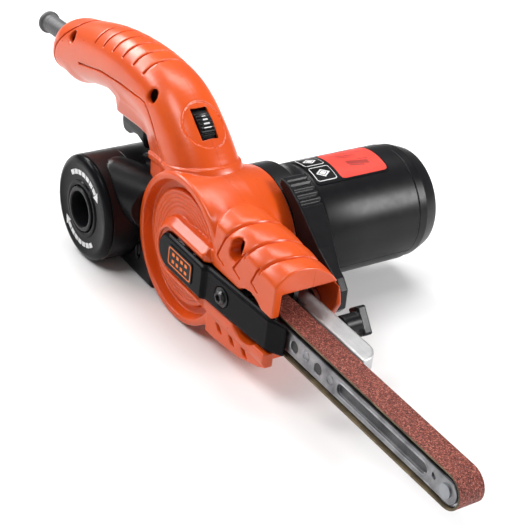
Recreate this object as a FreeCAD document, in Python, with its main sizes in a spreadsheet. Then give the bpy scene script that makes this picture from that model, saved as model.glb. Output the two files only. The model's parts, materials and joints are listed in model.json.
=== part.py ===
import FreeCAD, Part
import math
import os
import re

# A handheld narrow-belt sander: a motor lies across the tool, its shaft drives a 13 mm belt
# that runs out along an arm, and a curved handle rises from the drum that holds the drive.
# While it is being modelled, X points along the arm, Y points from the belt to the motor,
# Z is up, and (0, 0, 0) is on the motor shaft in the middle of the belt.

Vector = FreeCAD.Vector
Placement = FreeCAD.Placement
ALONG_Z = FreeCAD.Rotation()
ALONG_Y = FreeCAD.Rotation(Vector(1, 0, 0), -90)
ALONG_X = FreeCAD.Rotation(Vector(0, 1, 0), 90)

DIMENSIONS = {
    # sanding belt, its two rollers and the shaft
    "belt_width": 13, "belt_thickness": 1, "roller_distance": 199,
    "pulley_radius": 8.4, "tip_roller_radius": 7.4, "belt_gap": 0.1,
    "shaft_radius": 4, "running_gap": 0.05, "pulley_width": 13.5,
    # arm and its carrier
    "arm_width": 12.6, "arm_half_height": 5.6, "arm_rear": 74, "cheek_thickness": 1.4,
    "cheek_radius": 6.2, "axle_radius": 2, "axle_head_radius": 3.2, "recess_depth": 0.8,
    "carrier_near": 9.5, "carrier_width": 10.3, "carrier_height": 14, "carrier_rear": 40,
    "carrier_front": 121, "arm_travel": 5,
    # orange housing
    "housing_wall": 2.6, "split_plane": 8.4, "drum_radius": 38.2, "drum_near": -12,
    "drum_far": 28, "neck_start": 34.8, "disc_recess": 4, "disc_rim": 4.7,
    "collar_wall_radius": 16.5, "collar_bore": 9.9, "channel_half_height": 12.4,
    "screw_radius": 2, "screw_head_radius": 3.5,
    # motor
    "neck_radius": 33.6, "neck_end": 46, "waist_radius": 30, "waist_end": 52.4,
    "motor_radius": 30.5, "motor_start": 57.2, "cap_seam": 113.6, "cap_end": 127.6,
    "cap_end_radius": 26.4, "stator_radius": 27.2, "stator_bore": 18.4,
    "stator_length": 38, "core_radius": 17.8, "commutator_radius": 11,
    # dust collector
    "cyclone_radius": 27.9, "cyclone_near": -28, "cyclone_far": 22, "cyclone_wall": 2.4,
    "outlet_radius": 9.4, "outlet_length": 24, "duct_near": -9, "duct_far": 24,
    # cover
    "cover_radius": 9.4, "cover_face": -17.7, "cover_step_x": 31,
    # controls
    "lever_near": 33, "lever_width": 15.5, "lever_pivot_x": 63, "lever_pivot_radius": 4,
    "peg_radius": 2, "peg_offset": 6, "pin_radius": 1.5, "trigger_width": 13,
    "wheel_radius": 10, "wheel_width": 8,
    # cord entry
    "sleeve_radius": 5.3, "sleeve_bore": 3.6, "sleeve_length": 34,
}

doc = FreeCAD.newDocument("BeltSander")
sheet = doc.addObject("Spreadsheet::Sheet", "Dims")
for row, (alias, value) in enumerate(DIMENSIONS.items(), start=1):
    sheet.set(f"A{row}", alias)
    sheet.set(f"B{row}", str(value))
    sheet.setAlias(f"B{row}", alias)
doc.recompute()


class Sizes:
    """The sheet's values by name, read back as plain numbers."""

    def __getattr__(self, alias):
        return float(getattr(sheet, alias))


size = Sizes()


def bind(piece, **formulas):
    """Bind properties to formulas of the sheet's cells."""
    for name, formula in formulas.items():
        piece.setExpression(name, re.sub(r"([a-z][a-z_]+)", r"Dims.\1", formula))
    return piece


def cylinder(name, radius, length, at, turn=ALONG_Y):
    piece = bind(doc.addObject("Part::Cylinder", name), Radius=radius, Height=length)
    piece.Placement = Placement(Vector(*at), turn)
    return piece


def cone(name, radius_start, radius_end, length, at, turn=ALONG_Y):
    piece = bind(doc.addObject("Part::Cone", name),
                 Radius1=radius_start, Radius2=radius_end, Height=length)
    piece.Placement = Placement(Vector(*at), turn)
    return piece


def box(name, length, width, height, at, turn=ALONG_Z):
    piece = bind(doc.addObject("Part::Box", name), Length=length, Width=width, Height=height)
    piece.Placement = Placement(Vector(*at), turn)
    return piece


def fuse(name, pieces):
    union = doc.addObject("Part::MultiFuse", name)
    union.Shapes = pieces
    return union


def cut(name, base, tools):
    result = doc.addObject("Part::Cut", name)
    result.Base = base
    result.Tool = tools[0] if len(tools) == 1 else fuse(name + "_tools", tools)
    return result


def feature(name, shape):
    """A piece whose shape comes from Part's own functions."""
    piece = doc.addObject("Part::Feature", name)
    piece.Shape = shape
    return piece


nodes = []


def node(label, piece):
    """Register a finished sub-part under the label that names its file."""
    piece.Label = label
    nodes.append(piece)
    return piece


def rounded(corners):
    """Edges of a closed outline of (a, b, corner radius) points, joined by tangent arcs."""
    points = [Vector(a, b, 0) for a, b, _ in corners]
    radii = [radius for _, _, radius in corners]
    starts, ends, arcs = [], [], []
    for index, corner in enumerate(points):
        back = (points[index - 1] - corner).normalize()
        ahead = (points[(index + 1) % len(points)] - corner).normalize()
        radius = radii[index]
        if radius == 0:
            starts.append(corner)
            ends.append(corner)
            arcs.append(None)
            continue
        half_angle = back.getAngle(ahead) / 2
        reach = radius / math.tan(half_angle)
        middle = (back + ahead).normalize()
        centre = corner + middle * (radius / math.sin(half_angle))
        starts.append(corner + back * reach)
        ends.append(corner + ahead * reach)
        arcs.append(Part.Arc(starts[-1], centre - middle * radius, ends[-1]))
    edges = []
    for index, arc in enumerate(arcs):
        if arc is not None:
            edges.append(arc)
        following = starts[(index + 1) % len(points)]
        if (following - ends[index]).Length > 1e-6:
            edges.append(Part.LineSegment(ends[index], following))
    return edges


def plate(name, outline, thickness, near, holes=()):
    """A body padded along Y from the near side, from an outline drawn in X and Z."""
    body = doc.addObject("PartDesign::Body", name)
    sketch = body.newObject("Sketcher::SketchObject", name + "_sketch")
    plane = [item for item in body.Origin.OriginFeatures if item.Role == "XZ_Plane"][0]
    sketch.AttachmentSupport = [(plane, "")]
    sketch.MapMode = "FlatFace"
    for edge in outline:
        sketch.addGeometry(edge, False)
    for x, z, radius in holes:
        sketch.addGeometry(Part.Circle(Vector(x, z, 0), Vector(0, 0, 1), radius), False)
    pad = body.newObject("PartDesign::Pad", name + "_pad")
    pad.Profile = sketch
    bind(pad, Length=thickness)
    pad.Reversed = True
    body.Placement = Placement(Vector(0, near, 0), FreeCAD.Rotation())
    return body


def slab(name, outline, height, base):
    """A body padded upwards from a base height, from an outline drawn in X and Y."""
    body = doc.addObject("PartDesign::Body", name)
    sketch = body.newObject("Sketcher::SketchObject", name + "_sketch")
    plane = [item for item in body.Origin.OriginFeatures if item.Role == "XY_Plane"][0]
    sketch.AttachmentSupport = [(plane, "")]
    sketch.MapMode = "FlatFace"
    for edge in outline:
        sketch.addGeometry(edge, False)
    pad = body.newObject("PartDesign::Pad", name + "_pad")
    pad.Profile = sketch
    bind(pad, Length=height)
    body.Placement = Placement(Vector(0, 0, base), FreeCAD.Rotation())
    return body


def prism(outline, near, far):
    """A Part solid between two Y planes, from an outline drawn in X and Z."""
    wire = Part.Wire(Part.__sortEdges__([edge.toShape() for edge in outline]))
    wire.rotate(Vector(0, 0, 0), Vector(1, 0, 0), 90)
    wire.translate(Vector(0, near, 0))
    return Part.Face(wire).extrude(Vector(0, far - near, 0))


def oval(centre, across, half_across, half_y):
    """A closed oval wire: one half-axis along a direction in the XZ plane, the other along Y."""
    ring = Part.Circle(Vector(0, 0, 0), Vector(0, 0, 1), 1).toShape()
    side = Vector(0, 1, 0)
    normal = across.cross(side)
    matrix = FreeCAD.Matrix(
        across.x * half_across, side.x * half_y, normal.x, centre.x,
        across.y * half_across, side.y * half_y, normal.y, centre.y,
        across.z * half_across, side.z * half_y, normal.z, centre.z,
        0, 0, 0, 1)
    return Part.Wire(ring.transformGeometry(matrix).Edges)


# ---------------------------------------------------------------- housing shells

# handle stations along the middle of the grip: x, z, half height, half width
HANDLE = [
    (-153.5, 41.2, 8, 8.5), (-151, 41.3, 11.5, 12), (-144, 42.2, 14, 14.5),
    (-130, 44.5, 14.8, 15), (-107, 51, 15, 15.5), (-85, 55.5, 15.5, 16), (-64, 57, 16, 16.5),
    (-44, 53.5, 16.5, 17), (-27, 43, 16.5, 17.5), (-13, 28, 18, 18), (-3, 12, 18, 18),
]


def handle_solid(inset, first_station=0, straight=False):
    """The grip as a loft of ovals square to its centre line, shrunk by the inset."""
    centres = [Vector(x, size.split_plane, z) for x, z, _, _ in HANDLE]
    sections = []
    for index, (_, _, half_height, half_width) in enumerate(HANDLE):
        if index < first_station:
            continue
        ahead = centres[min(index + 1, len(centres) - 1)] - centres[max(index - 1, 0)]
        across = Vector(-ahead.z, 0, ahead.x).normalize()
        sections.append(oval(centres[index], across, half_height - inset, half_width - inset))
    return Part.makeLoft(sections, True, straight)


WEB_HALF_WIDTH = 11.4


def web_solid(inset):
    """The flat-sided web under the grip that carries the trigger."""
    outline = rounded([
        (-91 + inset, 54, 0), (-91 + inset, 42 + inset, 3), (-85.5 + inset, 40 + inset, 2),
        (-82.5 + inset, 33.5 + inset, 1.5), (-52 + inset, 34.5 + inset, 4),
        (-46 + inset, 24 + inset, 3), (-30, 20 + inset, 0), (-10, 20 + inset, 0), (-10, 40, 0),
        (-40, 54, 0),
    ])
    half_width = WEB_HALF_WIDTH - inset
    return prism(outline, size.split_plane - half_width, size.split_plane + half_width)


# across the nose: its two sides, its highest line, and how much lower the far side's top is
NOSE_NEAR, NOSE_FAR, NOSE_CREST_Y, NOSE_FAR_DROP = -12.2, 26.6, 2.5, 13


def nose_section(x, bottom, shoulder, crown, inset):
    """The nose's section across X: flat near side, arched top, lower far side."""
    near = NOSE_NEAR + inset
    far = NOSE_FAR - inset
    low = bottom + inset
    near_top = shoulder - inset
    far_top = near_top - NOSE_FAR_DROP
    arch = Part.Arc(Vector(x, near, near_top), Vector(x, NOSE_CREST_Y, crown - inset),
                    Vector(x, far, far_top))
    edges = [
        Part.LineSegment(Vector(x, near, low), Vector(x, near, near_top)),
        arch,
        Part.LineSegment(Vector(x, far, far_top), Vector(x, far, low)),
        Part.LineSegment(Vector(x, far, low), Vector(x, near, low)),
    ]
    return Part.Wire([edge.toShape() for edge in edges])


# x, underside, near shoulder, crown
NOSE_SECTIONS = [(14, -26, 26, 36.5), (58, -25.5, 24.5, 34.5), (81, -14, 22, 31.2)]


def nose_solid(inset):
    sections = [nose_section(x, bottom, shoulder, crown, inset)
                for x, bottom, shoulder, crown in NOSE_SECTIONS]
    return Part.makeLoft(sections, True, True)


def y_cylinder(radius, near, far, x=0, z=0):
    return Part.makeCylinder(radius, far - near, Vector(x, near, z), Vector(0, 1, 0))


def y_cone(radius_near, radius_far, near, far, x=0, z=0):
    return Part.makeCone(radius_near, radius_far, far - near, Vector(x, near, z), Vector(0, 1, 0))


def block(x_low, x_high, y_low, y_high, z_low, z_high):
    return Part.makeBox(x_high - x_low, y_high - y_low, z_high - z_low,
                        Vector(x_low, y_low, z_low))


wall = size.housing_wall
split = size.split_plane
drum_near, neck_start = size.drum_near, size.neck_start
SHOULDER = [(20, 38.2), (26, 37.2), (31, 35), (34.8, 33.6)]
outer = y_cylinder(size.drum_radius, drum_near, SHOULDER[0][0])
for (near, radius_near), (far, radius_far) in zip(SHOULDER, SHOULDER[1:]):
    outer = outer.fuse(y_cone(radius_near, radius_far, near, far))
outer = outer.fuse(nose_solid(0)).fuse(web_solid(0)).fuse(handle_solid(0))

# everything inside the shells, behind the recessed disc on the near side
disc_floor = drum_near + size.disc_recess + wall
cavity = y_cylinder(size.neck_radius - wall, disc_floor, neck_start)
cavity = cavity.fuse(y_cylinder(size.drum_radius - wall, disc_floor, 24))
cavity = cavity.fuse(nose_solid(wall)).fuse(web_solid(wall)).fuse(handle_solid(wall, 2, True))
shell = outer.cut(cavity)

# recessed ring in the near disc, and the raised collar round the end of the belt cover
collar_radius = size.collar_wall_radius
collar_near = drum_near - 4.2
ring = y_cylinder(size.drum_radius - size.disc_rim, drum_near - 1, drum_near + size.disc_recess)
shell = shell.cut(ring.cut(y_cylinder(collar_radius, drum_near - 2, 0)).cut(
    block(0, 40, drum_near - 2, 0, -collar_radius, collar_radius)))
shell = shell.fuse(y_cylinder(collar_radius, collar_near, disc_floor)).fuse(
    block(0, size.cover_step_x, collar_near, disc_floor, -collar_radius, collar_radius))

# belt channel, open on the near side for the cover and in front for the belt
channel = size.channel_half_height
cover_slot = size.collar_bore
channel_rear = -size.arm_travel / 2
shell = shell.cut(y_cylinder(channel, drum_near, split, channel_rear, 0))
shell = shell.cut(block(channel_rear, 90, drum_near, split, -channel, channel))
shell = shell.cut(y_cylinder(cover_slot, collar_near - 1, 0))
shell = shell.cut(block(0, 90, collar_near - 1, 0, -cover_slot, cover_slot))
# the belt's mouth, the carrier's way out on the far side, and the open space below both
FRONT_OPENINGS = [
    (58, 90, -9.4, 23.4, -11.6, 21),
    (58, 90, 19, 30, -30, 8.2),
    (66, 90, -9.4, 30, -30, 0),
]
for opening in FRONT_OPENINGS:
    shell = shell.cut(block(*opening))

# openings for the trigger, the speed wheel, the strain relief, the vents and the screws
TRIGGER_REAR, TRIGGER_FRONT = -85.5, -61
WHEEL_X, WHEEL_Z = -23.2, 49.3
trigger_half = size.trigger_width / 2 + 0.4
shell = shell.cut(block(TRIGGER_REAR - 0.8, TRIGGER_FRONT + 1.4, split - trigger_half,
                        split + trigger_half, 28, 42))
wheel_half = size.wheel_width / 2 + 0.5
shell = shell.cut(y_cylinder(size.wheel_radius + 0.7, split - wheel_half, split + wheel_half,
                             WHEEL_X, WHEEL_Z))
SLEEVE_TILT = 4
SLEEVE_END = Vector(-184, split, 40.6)
tilt = math.radians(SLEEVE_TILT)
sleeve_axis = Vector(math.cos(tilt), 0, math.sin(tilt))
shell = shell.cut(Part.makeCylinder(size.sleeve_radius, 40, SLEEVE_END, sleeve_axis))
TRIGGER_PIN_X, TRIGGER_PIN_Z = -65, 34.5
shell = shell.cut(y_cylinder(size.pin_radius, split - 8.2, split + 8.2,
                             TRIGGER_PIN_X, TRIGGER_PIN_Z))
CLAMP_X, CLAMP_SPREAD = -138, 5.6
POST_RADIUS, POST_BASE, POST_HEIGHT = 2.9, 30, 16
PILOT_RADIUS, PILOT_BASE, PILOT_DEPTH = 1.4, 35, 12
for y in (split - CLAMP_SPREAD, split + CLAMP_SPREAD):
    post = Part.makeCylinder(POST_RADIUS, POST_HEIGHT, Vector(CLAMP_X, y, POST_BASE))
    shell = shell.fuse(post.common(outer))
    shell = shell.cut(Part.makeCylinder(PILOT_RADIUS, PILOT_DEPTH,
                                        Vector(CLAMP_X, y, PILOT_BASE)))
SLOT_STARTS, SLOT_LENGTH = (39, 51.5, 64), 7
for x in SLOT_STARTS:
    shell = shell.cut(block(x, x + SLOT_LENGTH, -14, -9, -21, -18.5))

# screws from the near side, then from the far side: x, z, seat's distance from the split
NEAR_SCREWS = [(-131, 55, 4), (-43, 61, 6), (46.5, 24, 4)]
FAR_SCREWS = [(18, -29, 6), (-21, 23, 6)]
head_clearance = size.screw_head_radius + 0.2
BOSS_WALL, BOSS_REACH = 1.6, 9.5
for x, z, _ in NEAR_SCREWS + FAR_SCREWS:
    boss = y_cylinder(size.screw_head_radius + BOSS_WALL, split - BOSS_REACH, split + BOSS_REACH,
                      x, z)
    shell = shell.fuse(boss.common(outer))
for x, z, depth in NEAR_SCREWS:
    shell = shell.cut(y_cylinder(head_clearance, -20, split - depth, x, z))
    shell = shell.cut(y_cylinder(size.screw_radius, split - depth - 1, split + 8, x, z))
for x, z, depth in FAR_SCREWS:
    shell = shell.cut(y_cylinder(head_clearance, split + depth, 40, x, z))
    shell = shell.cut(y_cylinder(size.screw_radius, split - 8, split + depth + 1, x, z))

# the motor's spigot hole and the bearing for the lever's shaft in the far side
PIVOT_X, PIVOT_Z = size.lever_pivot_x, 0
pivot_bore = size.lever_pivot_radius + size.running_gap
shell = shell.cut(y_cylinder(size.neck_radius - 3.4, size.drum_far, 40))
BEARING_RADIUS, BEARING_NEAR, BEARING_FAR = 7.5, 23.2, 32
bearing = y_cylinder(BEARING_RADIUS, BEARING_NEAR, BEARING_FAR, PIVOT_X, PIVOT_Z)
shell = shell.fuse(bearing.cut(y_cylinder(size.neck_radius + 1.4, 20, 40)))
shell = shell.fuse(block(PIVOT_X - 11, PIVOT_X + 7, BEARING_NEAR, NOSE_FAR, -12, 12))
shell = shell.cut(y_cylinder(pivot_bore, 20, 40, PIVOT_X, PIVOT_Z))

near_half = block(-260, 260, -100, split, -100, 150)


def biggest(shape):
    return max(shape.Solids, key=lambda solid: solid.Volume)


node("right_housing", feature("RightHousing", biggest(shell.common(near_half))))
node("left_housing", feature("LeftHousing", biggest(shell.cut(near_half))))


# ---------------------------------------------------------------- housing screws

screw_solids = []
SCREW_LENGTH = 12
for index, (x, z, depth) in enumerate(NEAR_SCREWS + FAR_SCREWS):
    near_side = index < len(NEAR_SCREWS)
    seat = split - depth if near_side else split + depth
    head_near = seat - 2.6 if near_side else seat
    shank_near = seat if near_side else seat - SCREW_LENGTH
    screw_solids.append(fuse(f"HousingScrew{index}", [
        cylinder(f"ScrewHead{index}", "screw_head_radius", "2.6", (x, head_near, z)),
        cylinder(f"ScrewShank{index}", "screw_radius - 0.1", str(SCREW_LENGTH),
                 (x, shank_near, z)),
    ]))
housing_screws = doc.addObject("Part::Compound", "HousingScrews")
housing_screws.Links = screw_solids
node("housing_screws", housing_screws)

# ---------------------------------------------------------------- backplate and bearings

PLATE_NEAR, PLATE_THICK = 8.6, 2.4
post_x = 44.5
plate_far = PLATE_NEAR + PLATE_THICK
backplate_body = fuse("BackplateBody", [
    cylinder("BackplateDisc", "drum_radius - housing_wall - 0.6", str(PLATE_THICK),
             (0, PLATE_NEAR, 0)),
    box("BackplateTail", "arm_rear - arm_travel - 1", str(PLATE_THICK), "36",
        (0, PLATE_NEAR, -18)),
    cylinder("BearingSeat", "13", "7", (0, plate_far, 0)),
    cylinder("CoverPost", "4", "19.8", (post_x, -11.2, 0)),
    box("SpringLug", "3.4", "9.2", "12", (20, plate_far - 0.2, -6)),
])
node("backplate", cut("Backplate", backplate_body, [
    cylinder("BearingBore", "11", "10", (0, plate_far, 0)),
    cylinder("PlateBore", "6", "10", (0, PLATE_NEAR - 1, 0)),
    cylinder("PostBore", "1.9", "16", (post_x, -13, 0)),
    cylinder("FarBossHole", "screw_head_radius + 2", "6",
             (FAR_SCREWS[0][0], PLATE_NEAR - 1, FAR_SCREWS[0][1])),
    cylinder("RearBossHole", "screw_head_radius + 2", "6",
             (FAR_SCREWS[1][0], PLATE_NEAR - 1, FAR_SCREWS[1][1])),
    cylinder("SpringSeat", "4.8", "6", (19, plate_far + 4.4, 0), ALONG_X),
]))
node("front_bearing", cut("FrontBearing", cylinder("FrontRace", "11", "7", (0, plate_far, 0)), [
    cylinder("FrontRaceBore", "shaft_radius + running_gap", "9", (0, plate_far - 1, 0))]))
REAR_BEARING_NEAR = 116
node("rear_bearing", cut("RearBearing", cylinder("RearRace", "9.5", "6",
                                                 (0, REAR_BEARING_NEAR, 0)), [
    cylinder("RearRaceBore", "shaft_radius + running_gap", "8", (0, REAR_BEARING_NEAR - 1, 0))]))

# ---------------------------------------------------------------- motor housing and end cap

SPIGOT_NEAR = 29.2
motor_skin = fuse("MotorSkin", [
    cylinder("Spigot", "neck_radius - 3.6", f"neck_start - {SPIGOT_NEAR}", (0, SPIGOT_NEAR, 0)),
    cylinder("NeckRing", "neck_radius", "neck_end - neck_start", (0, neck_start, 0)),
    cone("NeckCone", "neck_radius", "waist_radius", "waist_end - neck_end",
         (0, size.neck_end, 0)),
    cylinder("Waist", "waist_radius", "motor_start - waist_end", (0, size.waist_end, 0)),
    cylinder("MotorCan", "motor_radius", "cap_seam - motor_start", (0, size.motor_start, 0)),
])
cap_screw_z = 22.8
motor_bore = cylinder("MotorBore", "stator_radius + 0.2", f"cap_seam - {SPIGOT_NEAR} + 2",
                      (0, SPIGOT_NEAR - 1, 0))
motor_can = cut("MotorHousingCan", motor_skin, [motor_bore])
boss_pair = []
for side, sign in (("Top", 1), ("Bottom", -1)):
    boss_pair.append(cylinder(f"CapBoss{side}", "4", "6",
                              (0, size.cap_seam - 6, sign * cap_screw_z)))
    boss_pair.append(box(f"CapRib{side}", "6", "6", "5",
                         (-3, size.cap_seam - 6, cap_screw_z if sign > 0 else -cap_screw_z - 5)))
node("motor_housing", cut("MotorHousing", fuse("MotorHousingBody", [motor_can] + boss_pair), [
    cylinder("CapBossBoreTop", "1.7", "8", (0, size.cap_seam - 7, cap_screw_z)),
    cylinder("CapBossBoreBottom", "1.7", "8", (0, size.cap_seam - 7, -cap_screw_z)),
]))

CAP_BEVEL = 5.1
cap_bevel_start = size.cap_end - CAP_BEVEL
cap_skin = fuse("CapSkin", [
    cylinder("CapBand", "motor_radius - 0.6", f"cap_end - cap_seam - {CAP_BEVEL}",
             (0, size.cap_seam, 0)),
    cone("CapBevel", "motor_radius - 0.6", "cap_end_radius", str(CAP_BEVEL),
         (0, cap_bevel_start, 0)),
])
cap_hollow = cylinder("CapHollow", "stator_radius - 0.6", "11.2", (0, size.cap_seam - 0.1, 0))
cap_shell = cut("CapShell", cap_skin, [cap_hollow])
cap_seat = cylinder("CapBearingSeat", "12", "9", (0, REAR_BEARING_NEAR, 0))
cap_pillars = [cylinder(f"CapPillar{side}", "3.6", "12",
                        (0, size.cap_seam, sign * cap_screw_z))
               for side, sign in (("Top", 1), ("Bottom", -1))]
cap_tools = [
    cylinder("CapBearingBore", "9.5", "6.2", (0, REAR_BEARING_NEAR - 0.2, 0)),
    cylinder("CapScrewBoreTop", "1.8", "20", (0, size.cap_seam - 1, cap_screw_z)),
    cylinder("CapScrewBoreBottom", "1.8", "20", (0, size.cap_seam - 1, -cap_screw_z)),
    cylinder("CapHeadSeatTop", "3", "3", (0, size.cap_end - 2.4, cap_screw_z)),
    cylinder("CapHeadSeatBottom", "3", "3", (0, size.cap_end - 2.4, -cap_screw_z)),
]
VENT_ANGLES = [30, 60, 90, 120, 150, 210, 240, 270, 300, 330]
for angle in VENT_ANGLES:
    radians = math.radians(angle)
    vent = box(f"CapVent{angle}", "2.2", "8", "9", (0, 0, 0))
    turn = FreeCAD.Rotation(Vector(0, 1, 0), angle)
    vent.Placement = Placement(Vector(0, size.cap_end - 5, 0) + turn.multVec(
        Vector(-1.1, 0, 13.5)), turn)
    cap_tools.append(vent)
node("motor_end_cap", cut("MotorEndCap", fuse("CapBody", [cap_shell, cap_seat] + cap_pillars),
                          cap_tools))
cap_screws = doc.addObject("Part::Compound", "CapScrews")
cap_screws.Links = [
    fuse(f"CapScrew{side}", [
        cylinder(f"CapScrewHead{side}", "2.9", "2", (0, size.cap_end - 2.4, z)),
        cylinder(f"CapScrewShank{side}", "1.7", "16.4", (0, size.cap_end - 18.8, z)),
    ]) for side, z in (("Top", cap_screw_z), ("Bottom", -cap_screw_z))]
node("end_cap_screws", cap_screws)


def sector(radius_in, radius_out, angle_from, angle_to, near, far):
    """A ring sector round the shaft; angles run from straight up towards +X, in degrees."""
    span = angle_to - angle_from
    thick = Part.makeCylinder(radius_out, far - near, Vector(0, near, 0), Vector(0, 1, 0), span)
    hole = Part.makeCylinder(radius_in, far - near, Vector(0, near, 0), Vector(0, 1, 0))
    part = thick.cut(hole).Solids[0]
    reference = part.CenterOfMass
    now = math.degrees(math.atan2(reference.x, reference.z))
    part.rotate(Vector(0, 0, 0), Vector(0, 1, 0), (angle_from + angle_to) / 2 - now)
    return part


motor_radius = size.motor_radius
LABEL_NEAR, LABEL_FAR = 57.4, 103
LABEL_FROM, LABEL_TO = -24, 27
LABEL_LIFT, LABEL_THICK = 0.02, 0.38
node("label_plate", feature("LabelPlate", sector(
    motor_radius + LABEL_LIFT, motor_radius + LABEL_LIFT + LABEL_THICK,
    LABEL_FROM, LABEL_TO, LABEL_NEAR, LABEL_FAR)))

# ---------------------------------------------------------------- motor inside

STATOR_NEAR = 61
stator_far = STATOR_NEAR + size.stator_length
coil_in, coil_out = size.stator_bore + 0.8, size.stator_radius - 1.8
iron = y_cylinder(size.stator_radius, STATOR_NEAR, stator_far)
iron = iron.cut(y_cylinder(size.stator_bore, STATOR_NEAR - 1, stator_far + 1))
coils = []
for pole in (0, 180):
    coil = None
    for leg in (-48, 24):
        window = sector(coil_in, coil_out, pole + leg, pole + leg + 24, STATOR_NEAR, stator_far)
        iron = iron.cut(window)
        wound = sector(coil_in + 0.2, coil_out - 0.2, pole + leg + 1, pole + leg + 23,
                       STATOR_NEAR - 4, stator_far + 4)
        coil = wound if coil is None else coil.fuse(wound)
    for near in (STATOR_NEAR - 4, stator_far + 0.2):
        coil = coil.fuse(sector(coil_in + 0.2, coil_out - 0.2, pole - 47, pole + 47,
                                near, near + 3.8))
    coils.append(coil)
node("stator", feature("Stator", iron))
node("field_coils", feature("FieldCoils", Part.makeCompound(coils)))

BRUSH_NEAR = 105
holders, brushes = [], []
for side in (1, -1):
    holder = box(f"Holder{side + 1}", "12", "7", "8", (14.5 if side > 0 else -26.5,
                                                       BRUSH_NEAR, -4))
    hollow = box(f"HolderHollow{side + 1}", "14", "5.2", "6.2",
                 (13.5 if side > 0 else -27.5, BRUSH_NEAR + 0.9, -3.1))
    holders.append(cut(f"BrushHolder{side + 1}", holder, [hollow]))
    brushes.append(box(f"Brush{side + 1}", "10", "5", "6",
                       (11.2 if side > 0 else -21.2, BRUSH_NEAR + 1, -3)))
brush_holders = doc.addObject("Part::Compound", "BrushHolders")
brush_holders.Links = holders
node("brush_holders", brush_holders)
carbon_brushes = doc.addObject("Part::Compound", "CarbonBrushes")
carbon_brushes.Links = brushes
node("carbon_brushes", carbon_brushes)

# ---------------------------------------------------------------- rotor, fan and drive pulley

SHAFT_NEAR = -9.4
node("rotor_shaft", cylinder("RotorShaft", "shaft_radius", "131", (0, SHAFT_NEAR, 0)))


def on_shaft(name, body, near, length):
    bore = cylinder(name + "Bore", "shaft_radius", str(length + 2), (0, near - 1, 0))
    return cut(name, body, [bore])


pulley_near = -size.pulley_width / 2
node("drive_pulley", on_shaft("DrivePulley", cylinder(
    "PulleyRim", "pulley_radius", "pulley_width", (0, pulley_near, 0)),
    pulley_near, size.pulley_width))
NUT_THICK = 2.4
node("pulley_nut", on_shaft("PulleyNut", cylinder(
    "NutBlank", "6", str(NUT_THICK), (0, pulley_near - NUT_THICK, 0)),
    pulley_near - NUT_THICK, NUT_THICK))
FAN_NEAR, FAN_DEPTH = 20.4, 8
BLADES = 9
fan_solids = [
    cylinder("FanHub", "8", str(FAN_DEPTH), (0, FAN_NEAR, 0)),
    cylinder("FanDisc", "27", "1.6", (0, FAN_NEAR, 0)),
]
for blade_index in range(BLADES):
    turn = FreeCAD.Rotation(Vector(0, 1, 0), 360 * blade_index / BLADES)
    blade = box(f"FanBlade{blade_index}", "1.6", str(FAN_DEPTH), "19.4", (0, 0, 0))
    blade.Placement = Placement(Vector(0, FAN_NEAR, 0) + turn.multVec(Vector(-0.8, 0, 7)), turn)
    fan_solids.append(blade)
node("cooling_fan", on_shaft("CoolingFan", fuse("FanBody", fan_solids), FAN_NEAR, FAN_DEPTH))
CORE_NEAR, CORE_LENGTH = 62, 36
CORE_SLOTS = 12
slot_tools = []
for slot_index in range(CORE_SLOTS):
    turn = FreeCAD.Rotation(Vector(0, 1, 0), 360 * slot_index / CORE_SLOTS)
    slot_box = box(f"CoreSlot{slot_index}", "1.6", str(CORE_LENGTH + 2), "5", (0, 0, 0))
    slot_box.Placement = Placement(Vector(0, CORE_NEAR - 1, 0) + turn.multVec(
        Vector(-0.8, 0, 13.6)), turn)
    slot_tools.append(slot_box)
core_blank = cylinder("CoreBlank", "core_radius", str(CORE_LENGTH), (0, CORE_NEAR, 0))
slot_tools.append(cylinder("CoreBore", "shaft_radius", str(CORE_LENGTH + 2),
                           (0, CORE_NEAR - 1, 0)))
node("armature_core", cut("ArmatureCore", core_blank, slot_tools))
winding_ends = doc.addObject("Part::Compound", "ArmatureWindings")
winding_ends.Links = [
    on_shaft("WindingNear", cylinder("WindingNearRing", "15.5", "5", (0, CORE_NEAR - 5, 0)),
             CORE_NEAR - 5, 5),
    on_shaft("WindingFar", cylinder("WindingFarRing", "15.5", "4",
                                    (0, CORE_NEAR + CORE_LENGTH, 0)),
             CORE_NEAR + CORE_LENGTH, 4),
]
node("armature_windings", winding_ends)
COMMUTATOR_NEAR = 103.5
node("commutator", on_shaft("Commutator", cylinder(
    "CommutatorBars", "commutator_radius", "10", (0, COMMUTATOR_NEAR, 0)), COMMUTATOR_NEAR, 10))

# ---------------------------------------------------------------- belt, arm and carrier

reach = size.roller_distance


def loop(rear_radius, tip_radius):
    """Outline round two rollers: their arcs and the two straight runs between them."""
    lean = math.acos((rear_radius - tip_radius) / reach)
    rear_x, rear_z = rear_radius * math.cos(lean), rear_radius * math.sin(lean)
    tip_x, tip_z = reach + tip_radius * math.cos(lean), tip_radius * math.sin(lean)
    top_rear, top_tip = Vector(rear_x, rear_z, 0), Vector(tip_x, tip_z, 0)
    low_rear, low_tip = Vector(rear_x, -rear_z, 0), Vector(tip_x, -tip_z, 0)
    return [
        Part.Arc(low_rear, Vector(-rear_radius, 0, 0), top_rear),
        Part.LineSegment(top_rear, top_tip),
        Part.Arc(top_tip, Vector(reach + tip_radius, 0, 0), low_tip),
        Part.LineSegment(low_tip, low_rear),
    ]


inner_rear = size.pulley_radius + size.belt_gap
inner_tip = size.tip_roller_radius + size.belt_gap
thick = size.belt_thickness
node("sanding_belt", plate("SandingBelt", loop(inner_rear + thick, inner_tip + thick)
                           + loop(inner_rear, inner_tip), "belt_width", -size.belt_width / 2))

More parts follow.
